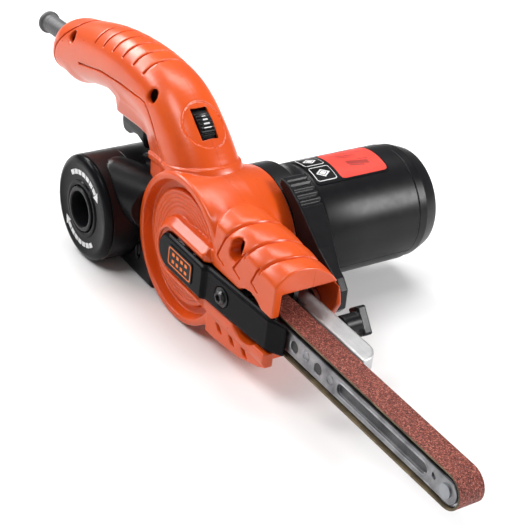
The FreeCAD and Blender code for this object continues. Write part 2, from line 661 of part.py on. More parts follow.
arm_near = -size.arm_width / 2
half = size.arm_half_height
BAR_FRONT = 188
bar = box("ArmBar", "114", "arm_width", "2 * arm_half_height", (size.arm_rear, arm_near, -half))
cheek_outline = rounded([
    (BAR_FRONT - 4, -half, 0), (reach + size.cheek_radius, -size.cheek_radius, 6),
    (reach + size.cheek_radius, size.cheek_radius, 6), (BAR_FRONT - 4, half, 0)])
near_cheek = plate("NearCheek", cheek_outline, "cheek_thickness", arm_near)
far_cheek = plate("FarCheek", cheek_outline, "cheek_thickness",
                  -arm_near - size.cheek_thickness)
ARM_SCREW_X = (92, 110.2)
RECESS_REAR, RECESS_FRONT, RECESS_HALF = 124, 186, 2.2
arm_tools = [
    plate("ArmRecess", rounded([
        (RECESS_REAR, -RECESS_HALF, 2), (RECESS_FRONT, -RECESS_HALF, 2),
        (RECESS_FRONT, RECESS_HALF, 2), (RECESS_REAR, RECESS_HALF, 2)]),
        "recess_depth + 1", arm_near - 1),
    cylinder("AxleBore", "axle_radius", "20", (reach, -10, 0)),
]
for x in ARM_SCREW_X:
    arm_tools.append(cylinder(f"ArmScrewBore{x:.0f}", "1.6", "20", (x, -10, 0)))
    arm_tools.append(cylinder(f"ArmScrewSeat{x:.0f}", "2.9", "3", (x, arm_near - 1, 0)))
node("sanding_arm", cut("SandingArm", fuse("ArmBody", [bar, near_cheek, far_cheek]), arm_tools))
arm_screw_set = doc.addObject("Part::Compound", "ArmScrews")
arm_screw_set.Links = [
    fuse(f"ArmScrew{x:.0f}", [
        cylinder(f"ArmScrewHead{x:.0f}", "2.7", "1.6", (x, arm_near + 0.4, 0)),
        cylinder(f"ArmScrewShank{x:.0f}", "1.5", "15", (x, arm_near + 2, 0)),
    ]) for x in ARM_SCREW_X]
node("arm_screws", arm_screw_set)

node("roller_axle", fuse("RollerAxle", [
    cylinder("AxlePin", "axle_radius", "arm_width + 0.4", (reach, arm_near, 0)),
    cylinder("AxleHead", "axle_head_radius", "0.9", (reach, arm_near - 0.9, 0)),
]))
ROLLER_HALF = 4.6
node("tip_roller", cut("TipRoller", cylinder(
    "RollerRim", "tip_roller_radius", "9.2", (reach, -ROLLER_HALF, 0)), [
    cylinder("RollerBore", "axle_radius + running_gap", "12", (reach, -ROLLER_HALF - 1, 0))]))

PEG_REST = math.radians(25)
peg_x = PIVOT_X + size.peg_offset * math.sin(PEG_REST)
peg_z = PIVOT_Z - size.peg_offset * math.cos(PEG_REST)
KNOB_X, KNOB_Z = 90.3, 2.6
carrier_far = size.carrier_near + size.carrier_width
carrier_half = size.carrier_height / 2
carrier_bar = slab("CarrierBar", rounded([
    (size.carrier_rear, plate_far + 0.4, 0), (size.arm_rear, plate_far + 0.4, 0),
    (size.arm_rear, size.carrier_near, 0), (size.carrier_front, size.carrier_near, 1),
    (size.carrier_front, carrier_far, 9), (size.carrier_rear, carrier_far, 0),
]), "carrier_height", -carrier_half)
tongue = box("CarrierTongue", "36", "carrier_near - arm_width / 2 + 0.2", "9",
             (80, -arm_near, -4.5))
carrier_tools = [
    box("PegSlot", "4.4", "4", "7", (peg_x - 2.2, carrier_far - 3, -carrier_half - 1)),
    cylinder("KnobBore", "2.5", "8", (KNOB_X, carrier_far - 7, KNOB_Z)),
]
for x in ARM_SCREW_X:
    carrier_tools.append(cylinder(f"CarrierScrewBore{x:.0f}", "1.5", "9",
                                  (x, -arm_near - 1, 0)))
node("arm_carrier", cut("ArmCarrier", fuse("CarrierBody", [carrier_bar, tongue]),
                        carrier_tools))

SPRING_RADIUS, SPRING_WIRE, SPRING_LENGTH, SPRING_TURNS = 3.6, 0.5, 13.4, 6
helix = Part.makeHelix(SPRING_LENGTH / SPRING_TURNS, SPRING_LENGTH, SPRING_RADIUS)
wire_section = Part.Wire(Part.Circle(Vector(SPRING_RADIUS, 0, 0), Vector(0, 1, 0),
                                     SPRING_WIRE).toShape())
coil_spring = Part.Wire(helix).makePipeShell([wire_section], True, True)
coil_spring.rotate(Vector(0, 0, 0), Vector(0, 1, 0), 90)
coil_spring.translate(Vector(size.carrier_rear - SPRING_LENGTH - SPRING_WIRE,
                             plate_far + 4.4, 0))
node("tension_spring", feature("TensionSpring", coil_spring))

# ---------------------------------------------------------------- tracking knob

WING_LENGTH, WING_WIDTH, WING_TURN = 14, 7.6, 51
wing = plate("KnobWing", rounded([
    (-WING_LENGTH / 2, -WING_WIDTH / 2, 1.6), (WING_LENGTH / 2, -WING_WIDTH / 2, 1.6),
    (WING_LENGTH / 2, WING_WIDTH / 2, 1.6), (-WING_LENGTH / 2, WING_WIDTH / 2, 1.6)]), "5", 0)
wing.Placement = Placement(Vector(KNOB_X, carrier_far + 9, KNOB_Z),
                           FreeCAD.Rotation(Vector(0, 1, 0), WING_TURN))
node("tracking_knob", fuse("TrackingKnob", [
    wing,
    cylinder("KnobStem", "5", "8.8", (KNOB_X, carrier_far + 0.4, KNOB_Z)),
    cylinder("KnobThread", "2.45", "6", (KNOB_X, carrier_far - 5.4, KNOB_Z)),
]))

# ---------------------------------------------------------------- tension lever

lever_blank = plate("LeverBlank", rounded([
    (13.5, 33.6, 1), (14.2, 38, 1.5), (30, 32.4, 4), (50.5, 18, 20), (71, 9, 6),
    (71, -8, 7), (55.5, -8, 6), (50, 4, 8), (36, 6, 5), (32, 18, 8), (23, 28.6, 10),
]), "lever_width", size.lever_near)
taper = slab("LeverTaper", rounded([
    (31, 48.6, 0), (31, 47.2, 0), (47, 44, 0), (62, 38.6, 0), (80, 38, 0), (80, 60, 0),
    (31, 60, 0)]), "80", -30)
node("tension_lever", cut("TensionLever", lever_blank, [
    taper, cylinder("LeverHub", "lever_pivot_radius", "4", (PIVOT_X, size.lever_near - 1,
                                                            PIVOT_Z))]))
lever_disc_near = 20.4
node("lever_shaft", fuse("LeverShaft", [
    cylinder("LeverPin", "lever_pivot_radius", "15.5", (PIVOT_X, lever_disc_near, PIVOT_Z)),
    cylinder("LeverDisc", "8.4", "2.2", (PIVOT_X, lever_disc_near, PIVOT_Z)),
    cylinder("LeverPeg", "peg_radius", "3.4", (peg_x, lever_disc_near - 3.2, peg_z)),
]))

# ---------------------------------------------------------------- belt cover and badge

step_x = size.cover_step_x
face = size.cover_face
cover_outline = [
    (-10, face), (step_x, face), (step_x + 1.5, face + 2.1), (79, -12.6), (87.5, -8.6),
    (87.5, -7.6), (78, -9.4), (step_x - 1, face + 5.2), (step_x - 2.4, face + 3.2),
    (-10, face + 3.2),
]
cover_half = size.cover_radius
cover_face_wire = Part.makePolygon([Vector(x, y, -cover_half)
                                    for x, y in cover_outline + cover_outline[:1]])
cover_solid = Part.Face(cover_face_wire).extrude(Vector(0, 0, 2 * cover_half))
rear_end = y_cylinder(cover_half, face - 1, 0).fuse(block(0, 100, face - 1, 0, -20, 20))
cover_solid = cover_solid.common(rear_end)
SEAT_Y = -14.2
cover_solid = cover_solid.cut(y_cylinder(5.2, -20, SEAT_Y, post_x, 0))
cover_solid = cover_solid.cut(y_cylinder(2.2, -20, 0, post_x, 0))
node("belt_cover", feature("BeltCover", cover_solid))
node("cover_washer", cut("CoverWasher", cylinder("WasherBlank", "4.9", "0.8",
                                                 (post_x, SEAT_Y - 0.8, 0)), [
    cylinder("WasherBore", "2", "3", (post_x, SEAT_Y - 2, 0))]))
node("cover_screw", fuse("CoverScrew", [
    cylinder("CoverScrewHead", "3.5", "1.8", (post_x, SEAT_Y - 2.6, 0)),
    cylinder("CoverScrewShank", "1.8", "12", (post_x, SEAT_Y - 0.8, 0)),
]))
node("badge_plate", plate("BadgePlate", rounded([
    (1, -5.6, 1.5), (23, -5.6, 1.5), (23, 5.6, 1.5), (1, 5.6, 1.5)]), "0.5", face - 0.5))

# ---------------------------------------------------------------- dust collector

CYCLONE_X, CYCLONE_Z = -69, -10.8
cyclone_near, cyclone_far = size.cyclone_near, size.cyclone_far
CAP_THICK = 4
node("cyclone_chamber", cut("CycloneChamber", cylinder(
    "ChamberBlank", "cyclone_radius", f"cyclone_far - cyclone_near - {CAP_THICK}",
    (CYCLONE_X, cyclone_near + CAP_THICK, CYCLONE_Z)), [
    cylinder("ChamberHollow", "cyclone_radius - cyclone_wall", "44",
             (CYCLONE_X, cyclone_near + CAP_THICK - 1, CYCLONE_Z)),
    box("ChamberInlet", "22", "20", "24", (CYCLONE_X + 16, 0, CYCLONE_Z - 12))]))
node("cyclone_end_cap", cut("CycloneEndCap", cone(
    "EndCapBlank", "cyclone_radius - 2.6", "cyclone_radius", str(CAP_THICK),
    (CYCLONE_X, cyclone_near, CYCLONE_Z)), [
    cylinder("EndCapBore", "outlet_radius + 2.4", "8",
             (CYCLONE_X, cyclone_near - 1, CYCLONE_Z))]))
node("outlet_tube", cut("OutletTube", cylinder(
    "TubeBlank", "outlet_radius + 2.4", "outlet_length", (CYCLONE_X, cyclone_near - 0.8,
                                                          CYCLONE_Z)), [
    cylinder("TubeBore", "outlet_radius", "outlet_length + 2",
             (CYCLONE_X, cyclone_near - 2, CYCLONE_Z))]))


def duct_outline(inset):
    return rounded([
        (-26, -39 + inset, 0), (-64 + inset, -39 + inset, 4), (-73.5 + inset, -20, 6),
        (-73.5 + inset, 6 - inset, 10), (-59, 21 - inset, 12), (-40, 23.5 - inset, 6),
        (-26, 23.5 - inset, 0)])


duct = prism(duct_outline(0), size.duct_near, size.duct_far)
duct = duct.cut(prism(duct_outline(2.4), size.duct_near + 2.4, size.duct_far - 2.4))
duct = duct.cut(y_cylinder(size.cyclone_radius + 0.05, cyclone_near, cyclone_far + 0.05,
                           CYCLONE_X, CYCLONE_Z))
duct = duct.cut(y_cylinder(size.drum_radius + 0.05, -30, 40)).cut(web_solid(0)).cut(
    block(-47, -20, -4, 21, 22.5, 30))
node("dust_duct", feature("DustDuct", biggest(duct)))

# ---------------------------------------------------------------- trigger, switch and speed wheel

trigger_near = split - size.trigger_width / 2
node("trigger", plate("Trigger", rounded([
    (TRIGGER_REAR, 38, 1), (TRIGGER_REAR, 22.5, 2.5), (-80, 21.2, 4), (-70, 24.5, 10),
    (TRIGGER_FRONT, 21, 2), (TRIGGER_FRONT, 38, 1)]), "trigger_width", trigger_near,
    holes=[(TRIGGER_PIN_X, TRIGGER_PIN_Z, size.pin_radius + size.running_gap)]))
node("trigger_pin", cylinder("TriggerPin", "pin_radius", "16.4",
                             (TRIGGER_PIN_X, split - 8.2, TRIGGER_PIN_Z)))
node("switch_body", fuse("SwitchBody", [
    box("SwitchCase", "27", "14", "13", (-89, split - 7, 45)),
    cylinder("SwitchPlunger", "2", "4", (-80, split, 41.4), ALONG_Z),
]))
wheel_near = split - size.wheel_width / 2
KNURLS = 28
wheel_tools = [cylinder("WheelBore", "axle_radius + running_gap", "12",
                        (WHEEL_X, wheel_near - 2, WHEEL_Z))]
for knurl_index in range(KNURLS):
    turn = FreeCAD.Rotation(Vector(0, 1, 0), 360 * knurl_index / KNURLS)
    knurl = box(f"Knurl{knurl_index}", "0.9", "wheel_width + 2", "2", (0, 0, 0))
    knurl.Placement = Placement(Vector(WHEEL_X, wheel_near - 1, WHEEL_Z) + turn.multVec(
        Vector(-0.45, 0, size.wheel_radius - 0.6)), turn)
    wheel_tools.append(knurl)
node("speed_wheel", cut("SpeedWheel", cylinder(
    "WheelBlank", "wheel_radius", "wheel_width", (WHEEL_X, wheel_near, WHEEL_Z)), wheel_tools))
BOARD_NEAR = split + 5.2
node("speed_control_board", fuse("SpeedControlBoard", [
    box("BoardPlate", "18", "1.6", "14", (-41, BOARD_NEAR, 37)),
    box("BoardTab", "8", "1.6", "6", (-27, BOARD_NEAR, 46)),
    cylinder("WheelSpindle", "axle_radius", "10.4", (WHEEL_X, wheel_near - 1.2, WHEEL_Z)),
]))
node("suppression_capacitor", box("SuppressionCapacitor", "22", "11", "9", (-124, split - 5.5,
                                                                         44)))

# ---------------------------------------------------------------- strain relief and cord clamp

sleeve_turn = FreeCAD.Rotation(Vector(0, 0, 1), sleeve_axis)
sleeve_body = fuse("SleeveBody", [
    cylinder("SleeveTube", "sleeve_radius", "sleeve_length", tuple(SLEEVE_END), sleeve_turn),
    cylinder("SleeveBead", "sleeve_radius + 1", "2.6", tuple(SLEEVE_END), sleeve_turn),
])
node("strain_relief", cut("StrainRelief", sleeve_body, [
    cylinder("SleeveBore", "sleeve_bore", "sleeve_length + 4",
             tuple(SLEEVE_END - sleeve_axis * 2), sleeve_turn)]))
clamp_near, clamp_far = split - CLAMP_SPREAD, split + CLAMP_SPREAD
node("cord_clamp", cut("CordClamp", box("ClampBar", "6", "16", "2.2", (CLAMP_X - 3, split - 8,
                                                                      46)), [
    cylinder("ClampHoleNear", "1.5", "6", (CLAMP_X, clamp_near, 44), ALONG_Z),
    cylinder("ClampHoleFar", "1.5", "6", (CLAMP_X, clamp_far, 44), ALONG_Z)]))
clamp_screws = doc.addObject("Part::Compound", "ClampScrews")
clamp_screws.Links = [
    fuse(f"ClampScrew{side}", [
        cylinder(f"ClampScrewHead{side}", "2.6", "1.6", (CLAMP_X, y, 48.2), ALONG_Z),
        cylinder(f"ClampScrewShank{side}", "1.4", "12", (CLAMP_X, y, 36.2), ALONG_Z),
    ]) for side, y in (("Near", clamp_near), ("Far", clamp_far))]
node("cord_clamp_screws", clamp_screws)

# ---------------------------------------------------------------- placement, checks and files

doc.recompute()
for item in doc.Objects:
    if "Invalid" in item.State or "Error" in item.State:
        raise RuntimeError(f"{item.Name} did not compute")
whole = FreeCAD.BoundBox()
for piece in nodes:
    if piece.Shape.isNull() or not piece.Shape.isValid():
        raise RuntimeError(f"{piece.Label} has no sound shape")
    whole.add(piece.Shape.BoundBox)

# the part's own origin: the middle of the underside of its bounding box
origin = Vector((whole.XMin + whole.XMax) / 2, (whole.YMin + whole.YMax) / 2, whole.ZMin)
for piece in nodes:
    piece.Placement = Placement(piece.Placement.Base - origin, piece.Placement.Rotation)
doc.recompute()

os.makedirs("parts", exist_ok=True)
for piece in nodes:
    piece.Shape.exportStep(f"parts/{piece.Label}.step")
print("nodes", len(nodes), "origin", origin.x, origin.y, origin.z)
print("size", whole.XLength, whole.YLength, whole.ZLength)
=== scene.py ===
import json
import math
from collections import namedtuple
from functools import reduce
from itertools import product

import bpy
import bmesh
import numpy as np
import openvdb
from mathutils import Matrix, Vector


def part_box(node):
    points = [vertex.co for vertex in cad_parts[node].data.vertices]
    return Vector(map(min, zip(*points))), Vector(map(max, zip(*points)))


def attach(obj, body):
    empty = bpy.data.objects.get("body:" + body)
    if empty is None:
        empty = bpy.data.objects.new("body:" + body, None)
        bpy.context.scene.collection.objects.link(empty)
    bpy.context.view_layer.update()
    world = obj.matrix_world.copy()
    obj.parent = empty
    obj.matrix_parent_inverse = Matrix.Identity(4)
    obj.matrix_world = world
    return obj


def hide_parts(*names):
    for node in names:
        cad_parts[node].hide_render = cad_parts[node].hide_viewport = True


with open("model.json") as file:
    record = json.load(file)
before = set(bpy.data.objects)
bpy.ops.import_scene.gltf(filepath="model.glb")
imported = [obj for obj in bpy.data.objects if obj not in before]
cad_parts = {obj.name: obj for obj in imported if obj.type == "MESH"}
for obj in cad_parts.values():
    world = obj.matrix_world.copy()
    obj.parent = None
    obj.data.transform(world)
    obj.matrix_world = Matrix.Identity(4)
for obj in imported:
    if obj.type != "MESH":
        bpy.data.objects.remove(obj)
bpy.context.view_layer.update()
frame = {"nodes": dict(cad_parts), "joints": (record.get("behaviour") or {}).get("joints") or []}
JOINTS = {joint["name"]: joint for joint in frame["joints"]}

# Working frame for every shape below: millimetres from the point where the drive shaft
# crosses the belt's middle. X runs along the arm, Y towards the motor, Z up.
ORIGIN = Vector(JOINTS["drive_spin"]["pos_m"])
MM = 0.001


def place(points):
    """Points in the working frame (mm) as points in the row frame (m)."""
    return np.asarray(points, float) * MM + np.array(ORIGIN)


def node_box(node):
    """A CAD node's corners in the working frame."""
    low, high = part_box(node)
    return (np.array(low - ORIGIN) / MM, np.array(high - ORIGIN) / MM)


def joint_at(name):
    """A joint's x and z in the working frame."""
    spot = np.array(JOINTS[name]["pos_m"]) - np.array(JOINTS["drive_spin"]["pos_m"])
    return np.round(spot / MM, 3)[[0, 2]]


LEVER_X = joint_at("lever_turn")[0]
KNOB_X, KNOB_Z = joint_at("tracking_turn")
TRIGGER_X, TRIGGER_Z = joint_at("trigger_press")
WHEEL_X, WHEEL_Z = joint_at("speed_turn")
TIP_X = joint_at("tip_roller_spin")[0]


# ---- distance fields

def smin(a, b, k):
    """The union of two fields, blended over a zone k wide."""
    blend = np.maximum(k - np.abs(a - b), 0) / k
    return np.minimum(a, b) - blend * blend * k * 0.25


def smax(a, b, k):
    """The overlap of two fields, with its edge rounded over a zone k wide."""
    return -smin(-a, -b, k)


def overlap(*fields):
    """The overlap of any number of fields, with sharp edges."""
    return reduce(np.maximum, fields)


def cut(body, tool, k=0):
    """The body with the tool taken away, the edge rounded over a zone k wide."""
    if k:
        return smax(body, -tool, k)
    return np.maximum(body, -tool)


def groove(body, line, depth):
    """The body with a line cut into its surface, no deeper than depth."""
    return cut(body, np.maximum(line, -depth - body))


def slab(value, low, high):
    """The zone where a coordinate lies between two values."""
    return np.abs(value - (low + high) / 2) - (high - low) / 2


def radial(a, b):
    """Distance from an axis, from the two offsets across it."""
    return np.sqrt(a ** 2 + b ** 2)


def stadium(x, z, rear):
    """Height off the arm's middle plane, turning into a half circle behind the rear."""
    return np.where(x > rear, np.abs(z), radial(x - rear, z))


def polyline(a, b, points):
    """Distance in a plane to an open line."""
    points = np.asarray(points, float)
    best = np.full(np.broadcast(a, b).shape, 1e9)
    for (a0, b0), (a1, b1) in zip(points[:-1], points[1:]):
        da, db = a1 - a0, b1 - b0
        t = np.clip(((a - a0) * da + (b - b0) * db) / (da * da + db * db), 0, 1)
        best = np.minimum(best, (a - a0 - t * da) ** 2 + (b - b0 - t * db) ** 2)
    return np.sqrt(best)


def polygon(a, b, points):
    """Signed distance in a plane to a closed outline, negative inside."""
    points = np.array([*points, points[0]], float)
    inside = np.zeros(np.broadcast(a, b).shape, bool)
    for (a0, b0), (a1, b1) in zip(points[:-1], points[1:]):
        slope = (a1 - a0) / (b1 - b0 if b1 != b0 else 1e-9)
        inside ^= ((b0 > b) != (b1 > b)) & (a < (b - b0) * slope + a0)
    gap = polyline(a, b, points)
    return np.where(inside, -gap, gap)


def from_side(shape, x, z, points):
    """A polygon or polyline in x and z, as a field that is the same at every y."""
    return shape(x[:, :, 0], z[:, 0, :], points)[:, None, :]


def from_top(x, y, points):
    """A polygon in x and y, as a field that is the same at every z."""
    return polygon(x[:, :, 0], y[:, :, 0], points)[:, :, None]


def curve(points, count):
    """A smooth line through the points, in any number of columns."""
    points = np.asarray(points, float)
    padded = np.vstack([2 * points[0] - points[1], points, 2 * points[-1] - points[-2]])
    at = np.linspace(0, len(points) - 1 - 1e-6, count)
    index = at.astype(int)
    t = (at - index)[:, None]
    p0, p1, p2, p3 = (padded[index + offset] for offset in range(4))
    return 0.5 * (2 * p1 + (p2 - p0) * t + (2 * p0 - 5 * p1 + 4 * p2 - p3) * t ** 2
                  + (3 * p1 - p0 - 3 * p2 + p3) * t ** 3)


def rounded_box(a, b, centre, half, corner):
    """A flat box with rounded corners."""
    da = np.abs(a - centre[0]) - half[0] + corner
    db = np.abs(b - centre[1]) - half[1] + corner
    return (radial(np.maximum(da, 0), np.maximum(db, 0))
            + np.minimum(np.maximum(da, db), 0) - corner)


# ---- meshes

def mesh_object(name, points, faces, smooth_angle=180):
    """A smooth-shaded mesh in the scene, with sharp edges over an angle in degrees."""
    mesh = bpy.data.meshes.new(name)
    mesh.from_pydata([tuple(p) for p in points], [], [tuple(f) for f in faces])
    mesh.validate()
    piece = bpy.data.objects.new(name, mesh)
    bpy.context.scene.collection.objects.link(piece)
    shade(piece, smooth_angle)
    return piece


def shade(piece, smooth_angle):
    """Smooth shading, with sharp edges over an angle in degrees."""
    mesh = piece.data
    mesh.polygons.foreach_set("use_smooth", np.ones(len(mesh.polygons), bool))
    if smooth_angle < 180:
        mesh.set_sharp_from_angle(angle=math.radians(smooth_angle))


def outward(piece, weld=False):
    """Turn the faces outward and drop loose points, after welding where asked."""
    work = bmesh.new()
    work.from_mesh(piece.data)
    if weld:
        bmesh.ops.remove_doubles(work, verts=work.verts, dist=1e-6)
        bmesh.ops.dissolve_degenerate(work, edges=work.edges, dist=1e-7)
    loose = [vertex for vertex in work.verts if not vertex.link_faces]
    bmesh.ops.delete(work, geom=loose, context="VERTS")
    bmesh.ops.recalc_face_normals(work, faces=work.faces)
    work.to_mesh(piece.data)
    work.free()


def ring_quads(rings, size, closed=False):
    """Quads between rings of size points each; closed joins the last ring to the first."""
    faces = []
    for ring in range(rings if closed else rings - 1):
        following = (ring + 1) % rings
        for index in range(size):
            after = (index + 1) % size
            faces.append((ring * size + index, ring * size + after,
                          following * size + after, following * size + index))
    return faces


def lathe(name, profile, centre, segments=160, dent=None, smooth_angle=35):
    """A body turned about an axis along Y, from (y, radius) pairs. dent(angle, y) sinks it."""
    angle = np.linspace(0, 2 * math.pi, segments, endpoint=False)
    rings = []
    for y, radius in profile:
        r = np.full(segments, float(radius))
        if dent is not None and radius > 0.01:
            r = r - dent(angle, y)
        rings.append(np.stack([centre[0] + r * np.sin(angle), np.full(segments, float(y)),
                               centre[1] + r * np.cos(angle)], 1))
    faces = ring_quads(len(profile), segments)
    piece = mesh_object(name, place(np.concatenate(rings)), faces)
    outward(piece, weld=True)
    shade(piece, smooth_angle)
    return piece


Lattice = namedtuple("Lattice", "axes low high step")


def lattice(nodes, full_step, spare=(0, 0, 0)):
    """The points over some nodes' box where a field is worked out, and their x, y and z.
    spare lowers the box."""
    boxes = [node_box(node) for node in nodes]
    low = np.min([box[0] for box in boxes], axis=0) - np.array(spare)
    high = np.max([box[1] for box in boxes], axis=0)
    step = full_step
    x, y, z = (np.arange(a - 2 * step, b + 3 * step, step) for a, b in zip(low, high))
    axes = (x[:, None, None], y[None, :, None], z[None, None, :])
    return Lattice(axes, low, high, step), *axes


def inside_box(field, cells):
    """The field, kept inside the lattice's box."""
    for value, low, high in zip(cells.axes, cells.low, cells.high):
        field = np.maximum(field, slab(value, low, high))
    return field


def field_object(name, cells, field):
    """A closed mesh on the zero surface of a field."""
    x, y, z = cells.axes
    step = cells.step
    far = 3 * step
    field = np.clip(np.broadcast_to(field, np.broadcast(x, y, z).shape), -far, far)
    field = np.ascontiguousarray(field, np.float32)
    for axis in range(3):
        edge = [slice(None)] * 3
        for side in (0, -1):
            edge[axis] = side
            field[tuple(edge)] = far
    volume = openvdb.FloatGrid(far)
    volume.copyFromArray(field)
    points, quads = volume.convertToQuads(isovalue=0.0)[:2]
    points = settle(points.astype(float), field, step)
    corner = np.array([x.flat[0], y.flat[0], z.flat[0]])
    return mesh_object(name, place(corner + points * step), quads[:, ::-1])


def sample(field, points):
    """The field at points given in cells, by trilinear interpolation, and its slope."""
    base = np.clip(points.astype(int), 0, np.array(field.shape) - 2)
    parts = (points - base).T
    value, slope = 0, np.zeros_like(points)
    for corner in product((0, 1), repeat=3):
        height = field[tuple((base + corner).T)]
        u, v, w = (part if far else 1 - part for part, far in zip(parts, corner))
        value = value + height * u * v * w
        for axis, (p, q) in enumerate(((v, w), (u, w), (u, v))):
            slope[:, axis] += height * (1 if corner[axis] else -1) * p * q
    return value, slope


def settle(points, field, step):
    """One step of the points towards the field's zero surface."""
    value, slope = sample(field, points)
    length = np.maximum((slope ** 2).sum(1), (0.3 * step) ** 2)
    move = -slope * (value / length)[:, None]
    return points + np.clip(move, -0.5, 0.5)


def finish_piece(piece, body, slot, *replaced, material=None):
    """Give a piece its material and its body, and hide the nodes it stands for. slot is not
    used.
    """
    if material is not None:
        piece.data.materials.clear()
        piece.data.materials.append(material)
    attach(piece, body)
    if replaced:
        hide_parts(*replaced)
    return piece


def mould(name, cells, field, body, slot, node, material):
    """A piece on a field's zero surface, inside its node's box, that replaces the node."""
    piece = field_object(name, cells, inside_box(field, cells))
    return finish_piece(piece, body, slot, node, material=material)


# ---- materials

def shader(name, base, roughness, **inputs):
    """A principled material, with its node tree and its shader node."""
    material = bpy.data.materials.new(name)
    material.use_nodes = True
    tree = material.node_tree
    main = tree.nodes["Principled BSDF"]
    main.inputs["Base Color"].default_value = (*base, 1)
    main.inputs["Roughness"].default_value = roughness
    for key, value in inputs.items():
        main.inputs[key.replace("_", " ")].default_value = value
    return material, tree, main


def add(tree, kind, **inputs):
    """A new node with its socket values set."""
    node = tree.nodes.new(kind)
    for key, value in inputs.items():
        node.inputs[key].default_value = value
    return node


def object_place(tree):
    """The place on the object, which every texture follows."""
    return add(tree, "ShaderNodeTexCoord").outputs["Object"]


def ramp(tree, source, stops):
    """A colour ramp over a source value; stops are (position, colour or grey)."""
    node = tree.nodes.new("ShaderNodeValToRGB")
    elements = node.color_ramp.elements
    while len(elements) < len(stops):
        elements.new(0.5)
    for element, (position, colour) in zip(elements, stops):
        element.position = position
        if isinstance(colour, (int, float)):
            colour = (colour, colour, colour)
        element.color = (*colour, 1)
    tree.links.new(source, node.inputs["Fac"])
    return node.outputs["Color"]


def noise(tree, scale, detail, coordinate=None):
    """Noise over the object, or over another coordinate."""
    node = add(tree, "ShaderNodeTexNoise", Scale=scale, Detail=detail)
    tree.links.new(coordinate or object_place(tree), node.inputs["Vector"])
    return node.outputs["Fac"]


def bump(tree, main, height, strength, distance, under=None):
    """Bump from a height, over another bump where under is given."""
    node = add(tree, "ShaderNodeBump", Strength=strength, Distance=distance)
    tree.links.new(height, node.inputs["Height"])
    if under is not None:
        tree.links.new(under, node.inputs["Normal"])
    tree.links.new(node.outputs["Normal"], main.inputs["Normal"])
    return node.outputs["Normal"]


def moulded(name, dark, light, rough, grain, depth, specular=0.5):
    """Moulded plastic: fine grain, slow colour drift, and uneven gloss."""
    material, tree, main = shader(name, light, rough, Specular_IOR_Level=specular)
    drift = ramp(tree, noise(tree, 38, 4), [(0.3, dark), (0.7, light)])
    tree.links.new(drift, main.inputs["Base Color"])
    gloss = ramp(tree, noise(tree, 260, 5), [(0.25, rough - 0.03), (0.75, rough + 0.04)])
    tree.links.new(gloss, main.inputs["Roughness"])
    bump(tree, main, noise(tree, grain, 2), 0.35, depth)
    return material


def metal(name, dark, light, rough, scale, stretch=(1, 1, 1), depth=0.00004, spots=0.0):
    """Metal with a directed grain, patches of dulling and small pits."""
    material, tree, main = shader(name, light, rough, Metallic=1.0)
    mapping = add(tree, "ShaderNodeMapping", Scale=stretch)
    tree.links.new(object_place(tree), mapping.inputs["Vector"])
    grain = noise(tree, scale, 6, mapping.outputs["Vector"])
    patch = ramp(tree, noise(tree, 90, 5), [(0.3, dark), (0.65, light)])
    tree.links.new(patch, main.inputs["Base Color"])
    polish = ramp(tree, grain, [(0.2, rough - 0.1), (0.8, rough + 0.12)])
    tree.links.new(polish, main.inputs["Roughness"])
    under = bump(tree, main, grain, 0.4, depth)
    if spots:
        bump(tree, main, noise(tree, 1100, 2), spots, depth, under)
    return material


ORANGE = moulded("orange_plastic", (0.56, 0.061, 0.004), (0.64, 0.078, 0.006), 0.30, 2600,
                 0.00003, 0.46)
BLACK = moulded("black_plastic", (0.004, 0.004, 0.005), (0.007, 0.007, 0.008), 0.33, 3200,
                0.00001, 0.20)
GLOSS = moulded("smoke_plastic", (0.004, 0.004, 0.005), (0.007, 0.007, 0.008), 0.22, 1500,
                0.000003, 0.06)
RUBBER = moulded("soft_rubber", (0.050, 0.050, 0.052), (0.080, 0.080, 0.084), 0.50, 1800,
                 0.00005)
NYLON = moulded("nylon", (0.60, 0.58, 0.52), (0.70, 0.68, 0.62), 0.45, 900, 0.00004)
CARBON = moulded("carbon", (0.02, 0.02, 0.02), (0.05, 0.05, 0.05), 0.6, 3000, 0.00006)
BOARD = moulded("circuit_board", (0.02, 0.09, 0.03), (0.04, 0.16, 0.06), 0.4, 700, 0.00003)
CAST = metal("cast_aluminium", (0.10, 0.10, 0.11), (0.33, 0.33, 0.34), 0.42, 500,
             depth=0.00008, spots=0.5)
# a darker copy of the cast aluminium, used only as painted shade on the arm
SHADE_CAST = metal("cast_aluminium_painted_shade", (0.035, 0.035, 0.037), (0.12, 0.12, 0.125), 0.5, 500,
                  depth=0.00008, spots=0.5)
BRACKET = metal("silver_bracket", (0.44, 0.44, 0.45), (0.60, 0.60, 0.60), 0.50, 900,
                (0.15, 1, 1), 0.00003, 0.2)
STEEL = metal("machined_steel", (0.40, 0.40, 0.42), (0.60, 0.60, 0.62), 0.30, 1200,
              (1, 0.15, 1), 0.00002)
SCREW = metal("zinc_screw", (0.30, 0.30, 0.32), (0.46, 0.46, 0.48), 0.34, 800)
BLACK_SCREW = metal("black_screw", (0.03, 0.03, 0.03), (0.07, 0.07, 0.07), 0.38, 800)
LAMINATION = metal("lamination", (0.22, 0.23, 0.25), (0.34, 0.35, 0.37), 0.5, 900,
                   (0.1, 6, 0.1), 0.0001)
COPPER = metal("copper_wire", (0.50, 0.18, 0.08), (0.78, 0.33, 0.16), 0.35, 1400,
               (1, 0.1, 1), 0.00012)
BRASS = metal("turned_brass", (0.60, 0.42, 0.16), (0.76, 0.58, 0.28), 0.3, 900)
SPRING = metal("spring_wire", (0.30, 0.30, 0.32), (0.48, 0.48, 0.5), 0.3, 900)
FILM_BLACK = moulded("film_black", (0.004, 0.004, 0.005), (0.008, 0.008, 0.009), 0.30, 1500,
                     0.000003, 0.12)
FILM_ORANGE = moulded("film_orange", (0.72, 0.15, 0.02), (0.82, 0.19, 0.03), 0.36, 1500,
                      0.000003, 0.12)
